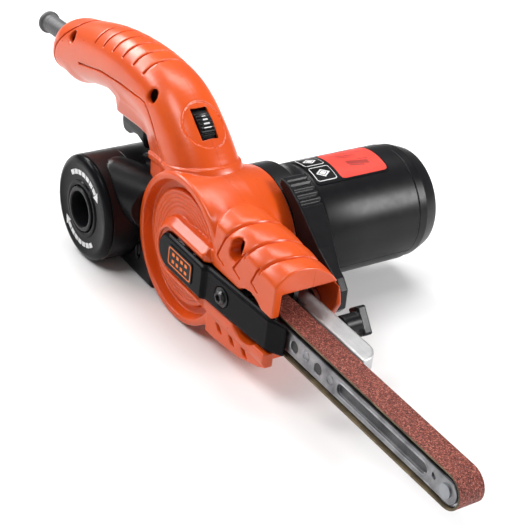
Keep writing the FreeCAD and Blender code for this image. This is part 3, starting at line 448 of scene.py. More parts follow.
FILM_RED = moulded("film_red", (0.60, 0.045, 0.030), (0.72, 0.065, 0.045), 0.36, 1500,
                   0.00001, 0.3)
FILM_DARK_RED = moulded("film_dark_red", (0.26, 0.022, 0.018), (0.36, 0.034, 0.026), 0.32,
                        1500, 0.00001)
FILM_PALE = moulded("film_pale", (0.55, 0.55, 0.55), (0.68, 0.68, 0.68), 0.32, 1500, 0.00001)


def abrasive():
    """Sharp grit in brown resin on cloth."""
    material, tree, main = shader("abrasive_grit", (0.3, 0.08, 0.06), 0.62,
                                  Specular_IOR_Level=0.28)
    coordinate = object_place(tree)
    grains = add(tree, "ShaderNodeTexVoronoi", Scale=2300.0, Randomness=1.0)
    tree.links.new(coordinate, grains.inputs["Vector"])
    coarse = noise(tree, 900, 4, coordinate)
    tint = ramp(tree, grains.outputs["Color"], [
        (0.05, (0.030, 0.008, 0.006)), (0.35, (0.13, 0.030, 0.022)),
        (0.65, (0.27, 0.062, 0.044)), (0.93, (0.56, 0.21, 0.15))])
    shadow = ramp(tree, coarse, [(0.30, (0.62, 0.58, 0.58)), (0.62, (1.0, 1.0, 1.0))])
    mix = tree.nodes.new("ShaderNodeMix")
    mix.data_type = "RGBA"
    mix.blend_type = "MULTIPLY"
    factor, colour_a, colour_b = mix.inputs[0], mix.inputs[6], mix.inputs[7]
    factor.default_value = 1.0
    tree.links.new(tint, colour_a)
    tree.links.new(shadow, colour_b)
    tree.links.new(mix.outputs[2], main.inputs["Base Color"])
    tree.links.new(ramp(tree, coarse, [(0.3, 0.4), (0.7, 0.75)]), main.inputs["Roughness"])
    bump(tree, main, grains.outputs["Distance"], 0.9, 0.00035)
    return material


def backing():
    """Woven cloth backing, stained with dust and graphite."""
    material, tree, main = shader("belt_backing", (0.2, 0.15, 0.08), 0.7)
    coordinate = object_place(tree)
    stain = ramp(tree, noise(tree, 120, 6, coordinate),
                 [(0.3, (0.050, 0.036, 0.020)), (0.7, (0.20, 0.145, 0.075))])
    tree.links.new(stain, main.inputs["Base Color"])
    weave = add(tree, "ShaderNodeTexWave", Scale=420.0, Distortion=0.6)
    tree.links.new(coordinate, weave.inputs["Vector"])
    bump(tree, main, weave.outputs["Fac"], 0.4, 0.0001)
    return material


GRIT = abrasive()
CLOTH = backing()


def paint_nodes():
    """A material for every CAD node, the replaced ones too."""
    looks = {
        BLACK: ["motor_housing", "motor_end_cap", "tracking_knob", "tension_lever", "trigger",
                "cyclone_chamber", "outlet_tube", "dust_duct", "speed_wheel"],
        GLOSS: ["label_plate", "belt_cover", "badge_plate", "cyclone_end_cap"],
        ORANGE: ["right_housing", "left_housing"],
        RUBBER: ["strain_relief"],
        STEEL: ["front_bearing", "rear_bearing", "rotor_shaft", "drive_pulley", "tip_roller",
                "lever_shaft", "trigger_pin"],
        SCREW: ["end_cap_screws", "pulley_nut", "cord_clamp_screws"],
        BLACK_SCREW: ["backplate", "arm_screws", "cover_washer", "cover_screw",
                      "housing_screws"],
        LAMINATION: ["stator", "armature_core", "roller_axle"],
        COPPER: ["field_coils", "armature_windings", "commutator"],
        BRASS: ["brush_holders"],
        CARBON: ["carbon_brushes"],
        NYLON: ["cooling_fan", "switch_body", "suppression_capacitor", "cord_clamp"],
        GRIT: ["sanding_belt"],
        CAST: ["sanding_arm"],
        BRACKET: ["arm_carrier"],
        SPRING: ["tension_spring"],
        BOARD: ["speed_control_board"],
    }
    for material, names in looks.items():
        for name in names:
            slots = frame["nodes"][name].data.materials
            slots.clear()
            slots.append(material)


paint_nodes()

# ---- orange housing

SPLIT = 8.4                     # the plane between the two shells
WALL = 2.6
GRIP_WIDE = 13.2                # how far each way the grooves over the grip reach
DRUM_RADIUS = 38.2
DRUM_NEAR, DRUM_FAR = -12.0, 34.8
NOSE_NEAR, NOSE_FAR = -12.4, 26.6
NOSE_REAR, NOSE_END = 5, 81
NOSE_LOWERED = 2.8              # how far the plain nose lies under the ribbed one
CROWN_Y = 2                     # where the nose's arch is highest
BAND_HIGH, CREASE_DEEP, CREASE_HALF = 1.2, 1.7, 0.6
SLEEVE_LEAN = math.radians(4)
SLEEVE_START = (-184, 40.6)
DISC_RADIUS, DISC_FLOOR = 34.6, -8.9
DISC_RINGS = (20.5, 22.5, 24.5, 26.5)
COVER_WALL = (16.4, 30.5)       # half height and front end of the wall round the cover
CHIN_SLOTS = (39.6, 50.8, 61.8)
CHANNEL_HALF = 12.4
# screw holes on the near side: x, z, seat depth and radius; on the far side: x and z
NEAR_SCREWS = ((-131, 55, 4, 3.1), (-43, 61, 6, 3.5), (46.5, 24, 4, 3.7))
FAR_SCREWS = ((18, -29), (-21, 23))
BOSS_RADIUS = 5.4

# along the grip's middle: x, z, half height, half width
GRIP = [
    (-158, 41.4, 14.8, 14.6), (-151, 42.0, 15.2, 14.8), (-144, 43.0, 15.4, 14.9),
    (-130, 46.0, 16.2, 15), (-107, 52.4, 16.5, 15.5), (-85, 56.2, 16.2, 16),
    (-64, 57, 16, 16.5), (-44, 53.5, 16.5, 17), (-27, 43, 16.5, 17.5), (-13, 28, 18, 18),
    (-3, 12, 18, 18), (2, 2, 18, 18),
]
# outlines and lines seen from the side, as (x, z)
WEB = [(-91, 56), (-91, 43), (-85.5, 40.5), (-82.5, 33.5), (-60, 35), (-52, 34.5),
       (-47, 27), (-45.5, 10), (-20, 6), (-10, 30), (-40, 56)]
SIDE_GROOVE = [(-119, 45.6), (-116, 46.4), (-94.6, 51.8), (-73.6, 54.5), (-53.5, 55.9),
               (-47, 55.8), (-43.4, 53.9), (-37.5, 48.3), (-31.4, 40.3), (-25.7, 33.5)]
REAR_GROOVE = [(-128, 66), (-134, 59), (-140.5, 52), (-145.4, 45), (-147.5, 38), (-147, 30)]
GRIP_GROOVES = (-105.5, -96.5, -86.5, -76.5, -66, -56)
# the nose's bands: where each dividing line crosses the near edge, and how far it bows forward
BAND_LINES = ((31.0, 2.2), (39.4, 4.2), (55.4, 3.6), (67.2, 4.6), (84.0, 1.0))
# lines down the nose's near side: x at the top, then x and z low down
NOSE_LINES = ((39.4, 33.8, 16.2), (55.4, 47.6, 17.0), (67.2, 62.4, 18.0))


def grip_field(x, y, z):
    """The grip: an oval swept along its middle line, its rear end rounded off."""
    line = curve(GRIP, 90)
    a, b = x[:, :, 0], z[:, 0, :]
    best = np.full(np.broadcast(a, b).shape, 1e9)
    offset, height, width = (np.zeros_like(best) for _ in range(3))
    for start, end in zip(line[:-1], line[1:]):
        run = end[:2] - start[:2]
        length = math.hypot(*run)
        t = np.clip(((a - start[0]) * run[0] + (b - start[1]) * run[1]) / length ** 2, 0, 1)
        dx, dz = a - start[0] - t * run[0], b - start[1] - t * run[1]
        gap = dx * dx + dz * dz
        near = gap < best
        best = np.where(near, gap, best)
        offset = np.where(near, np.sign(run[0] * dz - run[1] * dx) * np.sqrt(gap), offset)
        height = np.where(near, start[2] + t * (end[2] - start[2]), height)
        width = np.where(near, start[3] + t * (end[3] - start[3]), width)
    offset, height, width = (v[:, None, :] for v in (offset, height, width))
    across = y - SPLIT
    power = 2.25
    ratio = (np.abs(offset) / height) ** power + (np.abs(across) / width) ** power
    ratio = np.maximum(ratio, 1e-6) ** (1 / power)
    reach = radial(offset, across)
    tube = np.where(reach > 0.5, reach * (1 - 1 / ratio), -height)
    return smax(tube, (-153.8 - x) + 0.16 * (z - 41), 8)


def nose_bands(x, y):
    """How far the nose's bands bulge, and the creases between them."""
    bow = 1 - ((y - 4) / 17.0) ** 2
    pillow = np.zeros(np.broadcast(x, y).shape)
    first = BAND_LINES[0]
    for line, following in zip(BAND_LINES, BAND_LINES[1:]):
        low, high = line[0] + line[1] * bow, following[0] + following[1] * bow
        share = (x - low) / (high - low)
        bulge = BAND_HIGH * np.clip(4 * share * (1 - share), 0, 1) ** 0.4
        if line is first:
            bulge = np.where(share < 0.5, BAND_HIGH, bulge)
            share = np.maximum(share, 0.01)
        pillow = np.where((share > 0) & (share < 1), bulge, pillow)
        if line is not first:
            crease = np.clip(1.2 - np.abs(x - low) / CREASE_HALF, 0, 1)
            pillow = pillow - CREASE_DEEP * crease
    return pillow


def nose_field(x, y, z, banded=True):
    """The nose over the belt: flat near side, arched and banded top, open in front."""
    forward = np.clip((x - 14) / 67.0, 0, 1)
    crown = 37.2 - 5.6 * forward ** 1.6
    rise = np.clip(CROWN_Y - y, 0, None) / (CROWN_Y - NOSE_NEAR)
    fall = np.clip(y - CROWN_Y, 0, None)
    drop = 6.8 * rise ** 3 + 0.026 * fall ** 2 + 8.4 * (fall / (NOSE_FAR - CROWN_Y)) ** 12
    top = crown - np.minimum(drop, 40)
    rear = NOSE_REAR - x
    if banded:
        top = top + nose_bands(x, y) - 0.5
        edge = np.interp(y, [NOSE_NEAR, 2, 6, 10, 14.4, 26], [30.6, 27.5, 29.5, 33, 37, 44])
        rear = (edge - x) * 0.8
    slope = np.sqrt(1 + np.minimum((0.052 * fall + 1.4 * rise ** 2), 1.6) ** 2)
    body = smax((z - top) / slope, NOSE_NEAR - y, 0.9)
    body = smax(body, y - NOSE_FAR, 3)
    underside = np.interp(x, [30, 40, 60, 76, NOSE_END], [-27.6, -27.4, -24.8, -19.8, -17.2])
    body = smax(body, underside - z, 0.6)
    body = smax(body, x - NOSE_END, 0.5)
    return smax(body, rear, 0.5)


def drum_field(x, y, z):
    """The round body over the pulley and the fan, narrower towards the motor."""
    limit = np.interp(y, [DRUM_NEAR, 10, 16, 21, 26, 30.5, DRUM_FAR],
                      [DRUM_RADIUS, DRUM_RADIUS, 37.9, 37.1, 35.9, 34.7, 33.6])
    body = smax(radial(x, z) - limit, DRUM_NEAR - y, 2.0)
    return smax(body, y - DRUM_FAR, 0.8)


def handle_fields(x, y, z):
    """The grip with its web and rear bulge, and the raised collar round its foot."""
    flat = from_side(polygon, x, z, WEB)
    half = 11.6 + 0.20 * np.clip(-flat, 0, 16)
    web = smax(flat, np.abs(y - SPLIT) - half, 3)
    pommel = np.sqrt(((x + 134) / 1.25) ** 2 + ((y - SPLIT) / 1.25) ** 2
                     + (z - 36.0) ** 2) - 9.4
    column = smin(smin(grip_field(x, y, z), pommel, 3), web, 3)
    foot = 38.4 + 0.26 * x - z
    return column, smax(column - 1.0, np.abs(foot + 0.8) - 1.9, 0.8)


def engrave(outer, x, y, z):
    """The grooves of the grip and the nose, and the shallow pad round the speed wheel."""
    side = from_side(polyline, x, z, SIDE_GROOVE) - 0.5
    outer = groove(outer, np.maximum(side, 7 - np.abs(y - SPLIT)), 1.4)
    for crest in GRIP_GROOVES:
        line = overlap(np.abs(x - crest) - 0.5, np.abs(y - SPLIT) - GRIP_WIDE, 56 - z)
        outer = groove(outer, line, 1.4)
    outer = groove(outer, from_side(polyline, x, z, REAR_GROOVE) - 0.45, 1.1)
    pad_x, pad_z = x + 17.4, z - 57.0
    along = pad_x * 0.79 - pad_z * 0.61
    facing = pad_x * 0.61 + pad_z * 0.79
    pad = radial((along - 1) / 1.15, y - SPLIT) - 10.9
    outer = cut(outer, smax(np.maximum(pad, -0.75 - outer), -10 - facing, 0.3), 0.35)
    for top_x, low_x, low_z in NOSE_LINES:
        points = [(top_x, 29), (low_x, low_z), (low_x + 5.6, low_z - 2.4)]
        line = np.maximum(from_side(polyline, x, z, points) - 0.5, y + 11.0)
        outer = groove(outer, line, 1.3)
    return outer


def housing_fields(x, y, z):
    """The housing's outside, and the plain form that its wall is measured from."""
    column, collar = handle_fields(x, y, z)
    drum = drum_field(x, y, z)
    lowered = nose_field(x, y, z, False) + NOSE_LOWERED
    plain = np.minimum(smin(drum, lowered, 3), column)
    body = smin(drum, lowered, 4)
    body = smin(body, nose_field(x, y, z), 0.3)
    outer = np.minimum(np.minimum(body, column), collar)
    return engrave(outer, x, y, z), plain


def round_disc(shell, x, y, z):
    """The recessed disc on the near side, and the sloping wall round the cover's rear."""
    radius = radial(x, z)
    floor = np.interp(radius, [0, 29.0, 29.4, 33.4, DISC_RADIUS],
                      [DISC_FLOOR, DISC_FLOOR, -6.4, -6.4, -12.6])
    for ring in DISC_RINGS:
        floor = floor + 0.6 * np.exp(-((radius - ring) / 0.42) ** 2)
    recess = smax(y - floor, radius - DISC_RADIUS, 0.6)
    half, front = COVER_WALL
    outline = smax(stadium(x, z, 0) - half, x - front, 1.0)
    recess = cut(recess, outline, 0.8)
    recess = smax(recess, x - front - 0.1, 0.5)
    shell = cut(shell, recess, 0.8)
    disc = cut(np.maximum(slab(y, -9, -5.4), radius - 35), recess)
    shell = np.minimum(shell, disc)
    slope = smax(outline + 0.9 * np.clip(-12.4 - y, 0, None), -16.4 - y, 0.7)
    wall = smax(np.maximum(slope, y + 6.5), x - front + 0.5 * np.clip(z - 10, 0, None), 0.6)
    return smin(shell, wall, 0.5)


def chin(shell, x, y, z):
    """The skirt under the cover, with its stepped flank and three slots."""
    skirt = overlap(slab(z, -16.4, -9.4), slab(y, -13.9, -9.2),
                    slab(x, 26, 80.6 + 0.12 * (z + 10)))
    skirt = smax(skirt, -14.6 - y - 0.35 * (z + 12), 0.8)
    shell = smin(shell, skirt, 0.4)
    for slot_x in CHIN_SLOTS:
        leaning = slab(x + 0.9 * (z + 19.5), slot_x, slot_x + 3.6)
        slot = smax(leaning, slab(z, -21.6, -18.0), 0.3)
        shell = cut(shell, np.maximum(slot, y + 9.4), 0.3)
    return shell


def belt_way(shell, x, y, z):
    """The pocket for the cover, the channel for the belt, and the open front."""
    near = stadium(x, z, 0)
    shell = cut(shell, np.maximum(near - 9.5, slab(y, -30, -5.2)), 0.4)
    step = smax(np.maximum(near - 11.4, y + 15.0), x - 28.5, 0.3)
    shell = cut(shell, step, 0.3)
    channel = np.maximum(stadium(x, z, -2.5) - CHANNEL_HALF, slab(y, -8.4, 8.6))
    shell = cut(shell, channel)
    # a lip behind the cover closes the channel above and below the cover's edges
    lip = overlap(slab(np.abs(z), 6.4, 12.8), slab(y, -9.7, -8.3), slab(x, 0, 77))
    shell = np.minimum(shell, lip)
    mouth = smax(slab(y, -8.2, 23.4), slab(z, -11.6, 21), 0.8)
    shell = cut(shell, np.maximum(mouth, 58 - x), 0.5)
    shell = cut(shell, overlap(slab(y, -8.2, 30), z + 9.5, 72 - x), 0.5)
    notch = np.maximum(slab(y, 16, 30), (z + 8 - (x - 74) * 2.2) * 0.42)
    return cut(shell, np.maximum(notch, 73 - x), 0.5)


def openings(shell, x, y, z):
    """The holes for the trigger, the speed wheel, the strain relief and the motor."""
    trigger = smax(np.maximum(slab(x, -86.3, -59.6), slab(y, SPLIT - 6.9, SPLIT + 6.9)),
                   slab(z, 26, 42), 0.5)
    shell = cut(shell, trigger, 0.8)
    wheel = radial(x - WHEEL_X, z - WHEEL_Z) - 11.4
    shell = cut(shell, np.maximum(wheel, slab(y, SPLIT - 4.5, SPLIT + 4.5)))
    sleeve_z = SLEEVE_START[1] + (x - SLEEVE_START[0]) * math.tan(SLEEVE_LEAN)
    sleeve = radial(y - SPLIT, z - sleeve_z) - 5.5
    shell = cut(shell, np.maximum(sleeve, x + 140), 0.8)
    return cut(shell, np.maximum(radial(x, z) - 30.3, 27 - y), 0.4)


def screw_holes(shell, outer, x, y, z):
    """The screw holes, with a boss round each on the near side."""
    for hole_x, hole_z, seat, size in NEAR_SCREWS:
        away = radial(x - hole_x, z - hole_z)
        boss = np.maximum(away - BOSS_RADIUS, slab(y, SPLIT - 9.5, SPLIT + 9.5))
        shell = np.minimum(shell, np.maximum(boss, outer))
        shell = cut(shell, np.maximum(away - size, y - SPLIT + seat), 0.7)
    shell = cut(shell, np.maximum(radial(x - 48.2, z - 27.6) - 4.6, y - 3.0), 0.4)
    for hole_x, hole_z in FAR_SCREWS:
        hole = radial(x - hole_x, z - hole_z) - 3.7
        shell = cut(shell, np.maximum(hole, SPLIT + 6 - y), 0.7)
    return shell


def lever_bearing(shell, x, y, z):
    """The web and ring that hold the lever's shaft in the far side."""
    pivot = radial(x - LEVER_X, z)
    ring = np.maximum(pivot - 7.5, slab(y, 23.2, 31.8))
    web = overlap(slab(x, 52, 73), np.abs(z) - 12, slab(y, 23.4, 26.5))
    bearing = np.maximum(np.minimum(ring, web), 35.2 - radial(x, z))
    shell = np.minimum(shell, bearing)
    # the shaft's bore, and wider room round the shaft nearer than y = 20
    return np.maximum(shell, 4.05 - pivot + np.where(y < 20, 9, 0))


def shell_field(x, y, z):
    """Both shells together, with everything that is cut into them."""
    outer, plain = housing_fields(x, y, z)
    shell = cut(outer, np.maximum(plain + WALL, -5.4 - y))
    shell = round_disc(shell, x, y, z)
    shell = chin(shell, x, y, z)
    shell = belt_way(shell, x, y, z)
    shell = openings(shell, x, y, z)
    shell = screw_holes(shell, outer, x, y, z)
    return lever_bearing(shell, x, y, z)


def halve(piece, keep_low, plane_y):
    """Keep one side of a closed mesh, with a flat cap over the cut."""
    work = bmesh.new()
    work.from_mesh(piece.data)
    at = Vector(place([0, plane_y, 0]))
    bmesh.ops.bisect_plane(work, geom=work.verts[:] + work.edges[:] + work.faces[:],
                           dist=1e-7, plane_co=at, plane_no=(0, 1, 0),
                           clear_outer=keep_low, clear_inner=not keep_low)
    rim = [edge for edge in work.edges if len(edge.link_faces) == 1]
    bmesh.ops.triangle_fill(work, use_beauty=False, use_dissolve=False, edges=rim,
                            normal=(0, 1 if keep_low else -1, 0))
    work.to_mesh(piece.data)
    work.free()
    piece.data.set_sharp_from_angle(angle=math.radians(50))


def build_housing():
    """Both shells from one field, cut apart at the split plane with a fine gap."""
    cells, x, y, z = lattice(["right_housing", "left_housing"], 0.55)
    field = inside_box(shell_field(x, y, z).astype(np.float32), cells)
    right = field_object("shell_right", cells, field)
    left = bpy.data.objects.new("shell_left", right.data.copy())
    bpy.context.scene.collection.objects.link(left)
    gap = 0.04
    halve(right, True, SPLIT - gap)
    halve(left, False, SPLIT + gap)
    finish_piece(right, "tool_housing", "orange_plastic", "right_housing", material=ORANGE)
    finish_piece(left, "tool_housing", "orange_plastic", "left_housing", material=ORANGE)


build_housing()

# ---- belt, arm and carrier

PULLEY, TIP = 8.5, 7.5          # the two rollers' radii
BELT_HALF, BELT_THICK = 6.5, 1.0
BELT_POINTS = 60                # points along each straight run
ARM_HALF_HIGH, ARM_NEAR = 5.6, 6.3
# the arm's long recess: the middle of its line, half its length, and half its height
PILL_MIDDLE, PILL_LONG, PILL_HALF = 155.5, 28.2, 2.8
# small features on the arm's near face: x, z and radius
ARM_HOLES = ((92, 0, 2.8), (110.2, 0, 2.8), (190.5, 0.8, 1.5))
ARM_RINGS = ((101, 1.2, 2.2), (119.5, 0.6, 2.3))
CARRIER_END = (112, 10.8)       # middle of the carrier's round corner
CARRIER_FAR = 19.8


def belt_path(shift, count=28):
    """The loop round both rollers as (x, z) points with equal counts for any shift."""
    rear, front = PULLEY + shift, TIP + shift
    lean = math.asin((PULLEY - TIP) / TIP_X)
    points = []
    for index in range(count + 1):
        angle = math.pi / 2 - lean - (math.pi - 2 * lean) * index / count
        points.append((TIP_X + front * math.cos(angle), front * math.sin(angle)))
    for index in range(1, BELT_POINTS):
        share = index / BELT_POINTS
        radius = front * (1 - share) + rear * share
        points.append((TIP_X * (1 - share) + radius * math.sin(lean), -radius))
    for index in range(count + 1):
        angle = -math.pi / 2 + lean - (math.pi + 2 * lean) * index / count
        points.append((rear * math.cos(angle), rear * math.sin(angle)))
    for index in range(1, BELT_POINTS):
        share = index / BELT_POINTS
        points.append((TIP_X * share, rear * (1 - share) + front * share))
    return points


def build_belt():
    """The belt, with grit on its outer face and cloth on the rest."""
    section = [(0, BELT_HALF - 0.18), (0, 0.18 - BELT_HALF), (0.45, -BELT_HALF),
               (BELT_THICK, 0.1 - BELT_HALF), (BELT_THICK, BELT_HALF - 0.1),
               (0.45, BELT_HALF)]
    grit_side = 3
    paths = [belt_path(shift) for shift, _ in section]
    count = len(paths[0])
    points = [(x, y, z) for path, (_, y) in zip(paths, section) for x, z in path]
    faces = [(p, s, r, q) for p, q, r, s in ring_quads(len(section), count, closed=True)]
    belt = mesh_object("belt_loop", place(points), faces, 40)
    belt.data.materials.append(GRIT)
    belt.data.materials.append(CLOTH)
    looks = np.repeat(np.arange(len(section)) != grit_side, count).astype(int)
    belt.data.polygons.foreach_set("material_index", looks)
    outward(belt)
    finish_piece(belt, "arm", "abrasive_belt", "sanding_belt")


build_belt()


def pill(x, z):
    """Distance from the middle line of the arm's long recess."""
    return radial(np.maximum(np.abs(x - PILL_MIDDLE) - PILL_LONG, 0), z)


def build_arm():
    """The cast arm: cheeks round the tip roller, a long rimmed recess, holes and rings."""
    cells, x, y, z = lattice(["sanding_arm"], 0.33)
    axle = radial(x - TIP_X, z)
    bar = np.maximum(slab(x, 74, TIP_X), np.abs(z) - ARM_HALF_HIGH)
    body = smax(bar, np.abs(y) - ARM_NEAR, 0.8)
    body = np.maximum(body, TIP + 0.4 - axle)
    ends = np.minimum(axle - 6.2, np.maximum(slab(x, 186, TIP_X), np.abs(z) - ARM_HALF_HIGH))
    body = np.minimum(body, smax(ends, slab(np.abs(y), 4.9, ARM_NEAR), 0.4))
    # the recess has a raised rim, because the face around it lies a little lower
    edge = pill(x, z) - PILL_HALF
    lowered = overlap(0.55 - edge, np.abs(z) - 4.9, y + 5.75)
    body = cut(body, np.maximum(lowered, slab(x, 122, 190)), 0.25)
    floor = -4.3 - 0.5 * np.clip(-z / PILL_HALF, 0, 1)
    body = cut(body, smax(edge, y - floor, 0.8), 0.25)
    for hole_x, hole_z, size in ARM_HOLES:
        body = cut(body, np.maximum(radial(x - hole_x, z - hole_z) - size, y + 4.4), 0.3)
    for ring_x, ring_z, size in ARM_RINGS:
        ring = np.abs(radial(x - ring_x, z - ring_z) - size) - 0.32
        body = cut(body, np.maximum(ring, np.abs(y + ARM_NEAR) - 0.5), 0.25)
    body = np.maximum(body, 2.0 - axle)
    arm = mould("arm_casting", cells, body, "arm", "cast_aluminium", "sanding_arm", CAST)
    paint_arm_shade(arm)


def paint_arm_shade(arm):
    """Painted shade on the recess's floor and on the faces beside the belt: they take a darker
    copy of the cast metal.
    """
    arm.data.materials.append(SHADE_CAST)
    middles = np.empty(len(arm.data.polygons) * 3)
    arm.data.polygons.foreach_get("center", middles)
    x, y, z = ((middles.reshape(-1, 3) - np.array(ORIGIN)) / MM).T
    # painted shade: the recess floor and the faces under the belt runs get the darker copy
    in_recess = (pill(x, z) < PILL_HALF - 0.2) & (np.abs(y + 4.8) < 1.1)
    beside_belt = np.abs(z) > ARM_HALF_HIGH - 0.3
    arm.data.polygons.foreach_set("material_index", (in_recess | beside_belt).astype(int))


build_arm()


def build_carrier():
    """The silver bar that carries the arm and slides in the housing."""
    cells, x, y, z = lattice(["arm_carrier"], 0.4)
    end_x, end_y = CARRIER_END
    outline = [(40, 11.4), (74, 11.4), (74, 9.5), (121, 9.5)]
    outline += [(end_x + 9 * math.sin(a), end_y + 9 * math.cos(a))
                for a in np.linspace(math.pi / 2, 0, 10)]
    outline += [(40, CARRIER_FAR)]
    body = smax(from_top(x, y, outline), np.abs(z) - 7, 1.0)
    tongue = np.maximum(slab(x, 80, 116), slab(y, ARM_NEAR, 10))
    body = smin(body, smax(tongue, np.abs(z) - 4.5, 0.5), 0.3)
    peg_slot = overlap(slab(x, 58.2, 63.0), y - CARRIER_FAR, slab(z, -8, -1), 16.8 - y)
    body = cut(body, peg_slot)
    knob_hole = radial(x - KNOB_X, z - KNOB_Z) - 2.5
    body = cut(body, np.maximum(knob_hole, 12.8 - y), 0.4)
    mould("carrier_bar", cells, body, "arm", "silver_bracket", "arm_carrier", BRACKET)


build_carrier()

# ---- cover, badge and screw

COVER_SCREW_X = 44.5


def build_cover():
    """The black cover: chamfered all round, with a seat for its screw."""
    cells, x, y, z = lattice(["belt_cover"], 0.35)
    outline = [(-10, -17.7), (30.6, -17.7), (32.2, -15.6), (79, -12.6), (87.5, -8.6),
               (87.5, -7.6), (78, -9.4), (30, -12.5), (28.6, -14.5), (-10, -14.5)]
    face = from_top(x, y, outline)
    side = stadium(x, z, 0) - 9.4 + 0.6 * np.clip((x - 76) / 12, 0, 1)
    body = smax(face, side, 0.5)
    body = smax(body, (face + side) * 0.7071 + 1.0, 0.4)
    edge_line = np.maximum(np.abs(np.abs(z) - 7.7) - 0.16, -0.35 - face)
    in_front = np.interp(x, [-10, 29, 31, 34], [0, 0, 1, 1]) > 0.5
    body = np.where(in_front, cut(body, edge_line, 0.2), body)
    seat = radial(x - COVER_SCREW_X, z)
    body = cut(body, np.maximum(seat - 5.2, y + 14.2), 0.5)
    body = np.maximum(body, 2.2 - seat)
    mould("cover_moulding", cells, body, "tool_housing", "smoke_plastic", "belt_cover", GLOSS)


build_cover()


def printed_sheet(name, a_range, b_range, cell, shape, paint, to_space, thick, materials):
    """A thin sheet cut to shape(a, b) < 0, its cells coloured by paint(a, b), both sides
    closed. to_space(a, b, height) gives the sheet's points."""
    a = np.arange(a_range[0], a_range[1] + cell / 2, cell)
    b = np.arange(b_range[0], b_range[1] + cell / 2, cell)
    mid_a, mid_b = np.meshgrid((a[:-1] + a[1:]) / 2, (b[:-1] + b[1:]) / 2, indexing="ij")
    inside = shape(mid_a, mid_b) < 0
    colours = paint(mid_a, mid_b)
    grid_a, grid_b = np.meshgrid(a, b, indexing="ij")
    top = to_space(grid_a, grid_b, thick).reshape(-1, 3)
    bottom = to_space(grid_a, grid_b, 0.0).reshape(-1, 3)
    columns = len(b)
    under = len(top)
    faces, looks = [], []
    filled = np.pad(inside, 1)
    for i, j in zip(*np.nonzero(inside)):
        p, q, r, s = (i * columns + j, (i + 1) * columns + j, (i + 1) * columns + j + 1,
                      i * columns + j + 1)
        faces += [(p, q, r, s), (p + under, s + under, r + under, q + under)]
        looks += [colours[i, j], 0]
        for di, dj, u, v in ((-1, 0, s, p), (1, 0, q, r), (0, -1, p, q), (0, 1, r, s)):
            if not filled[i + 1 + di, j + 1 + dj]:
                faces.append((u, v, v + under, u + under))
                looks.append(0)
    sheet = mesh_object(name, place(np.concatenate([top, bottom])), faces, 30)
    for material in materials:
        sheet.data.materials.append(material)
    sheet.data.polygons.foreach_set("material_index", np.array(looks, int))
    outward(sheet)
    return sheet


def one_colour(a, b):
    """The paint of a sheet that has a single material."""
    return np.zeros(a.shape, int)


def build_badge():
    """The badge: a framed pattern of eight small tiles."""
    low, high = node_box("badge_plate")
    middle = (low[0] + high[0]) / 2

    def shape(a, b):
        return rounded_box(a, b, (middle, 0), (11, 5.6), 1.8)

    def paint(a, b):
        bright = np.abs(rounded_box(a, b, (middle, 0), (9.9, 4.5), 1.4)) < 0.38
        for row in (-1.9, 1.9):
            for column in (-5.8, -2.0, 1.8, 5.6):
                bright |= rounded_box(a, b, (middle + column, row), (1.1, 0.9), 0.4) < 0
        return np.where(bright, 1, 0)

    def to_space(a, b, height):
        return np.stack([a, np.full(a.shape, high[1] - 0.02) - height, b], -1)

    badge = printed_sheet("badge_panel", (low[0], high[0]), (low[2], high[2]), 0.2, shape,
                          paint, to_space, high[1] - low[1] - 0.03,
                          (FILM_BLACK, FILM_ORANGE))
    finish_piece(badge, "tool_housing", "badge_film", "badge_plate")


build_badge()


def socket(angle, y):
    """How far the lobes of the screw's socket sink."""
    return 0.26 * (1 + np.cos(6 * angle)) if -16.75 < y < -15.2 else 0


def build_cover_screw():
    """The cover's washer, and its screw with a lobed socket."""
    washer = [(-14.2, 2.0), (-14.2, 4.8), (-14.4, 4.9), (-14.85, 4.9), (-15.0, 4.7),
              (-15.0, 2.0), (-14.2, 2.0)]
    screw = [(-3.0, 0.0), (-3.0, 1.6), (-15.0, 1.8), (-15.0, 3.4), (-15.2, 3.5),
             (-16.2, 3.5), (-16.7, 3.1), (-16.8, 2.7), (-16.74, 2.1), (-15.4, 1.9),
             (-15.3, 1.7), (-15.3, 0.0)]
    for name, section, segments, dent, node in (
            ("washer", washer, 64, None, "cover_washer"),
            ("screw_head", screw, 72, socket, "cover_screw")):
        piece = lathe(name, section, (COVER_SCREW_X, 0), segments, dent)
        finish_piece(piece, "tool_housing", "zinc_screw", node, material=BLACK_SCREW)


build_cover_screw()

# ---- black levers and knobs

# outlines seen from the side, as (x, z)
LEVER = [(13.6, 33.8), (14.4, 37.6), (15.6, 38.0), (22, 36.6), (30, 32.6), (50.5, 18.4),
         (66, 10.6), (70.6, 6), (71, -4), (68, -7.6), (60, -7.6), (55.8, -4), (52, 1.5),
         (47, 5.0), (38, 8), (32.8, 16), (27, 25), (22.4, 28.8)]
TRIGGER = [(-85.5, 38), (-85.5, 24.5), (-84.6, 22.4), (-82.5, 21.4), (-79.5, 21.6),
           (-75, 24.2), (-70, 25.2), (-65, 23.6), (-62.6, 21.4), (-61.2, 21.6), (-61, 23),
           (-61, 38)]
KNOB_TURN = math.radians(51)
WHEEL_RADIUS = 9.95
WHEEL_RIBS = 30


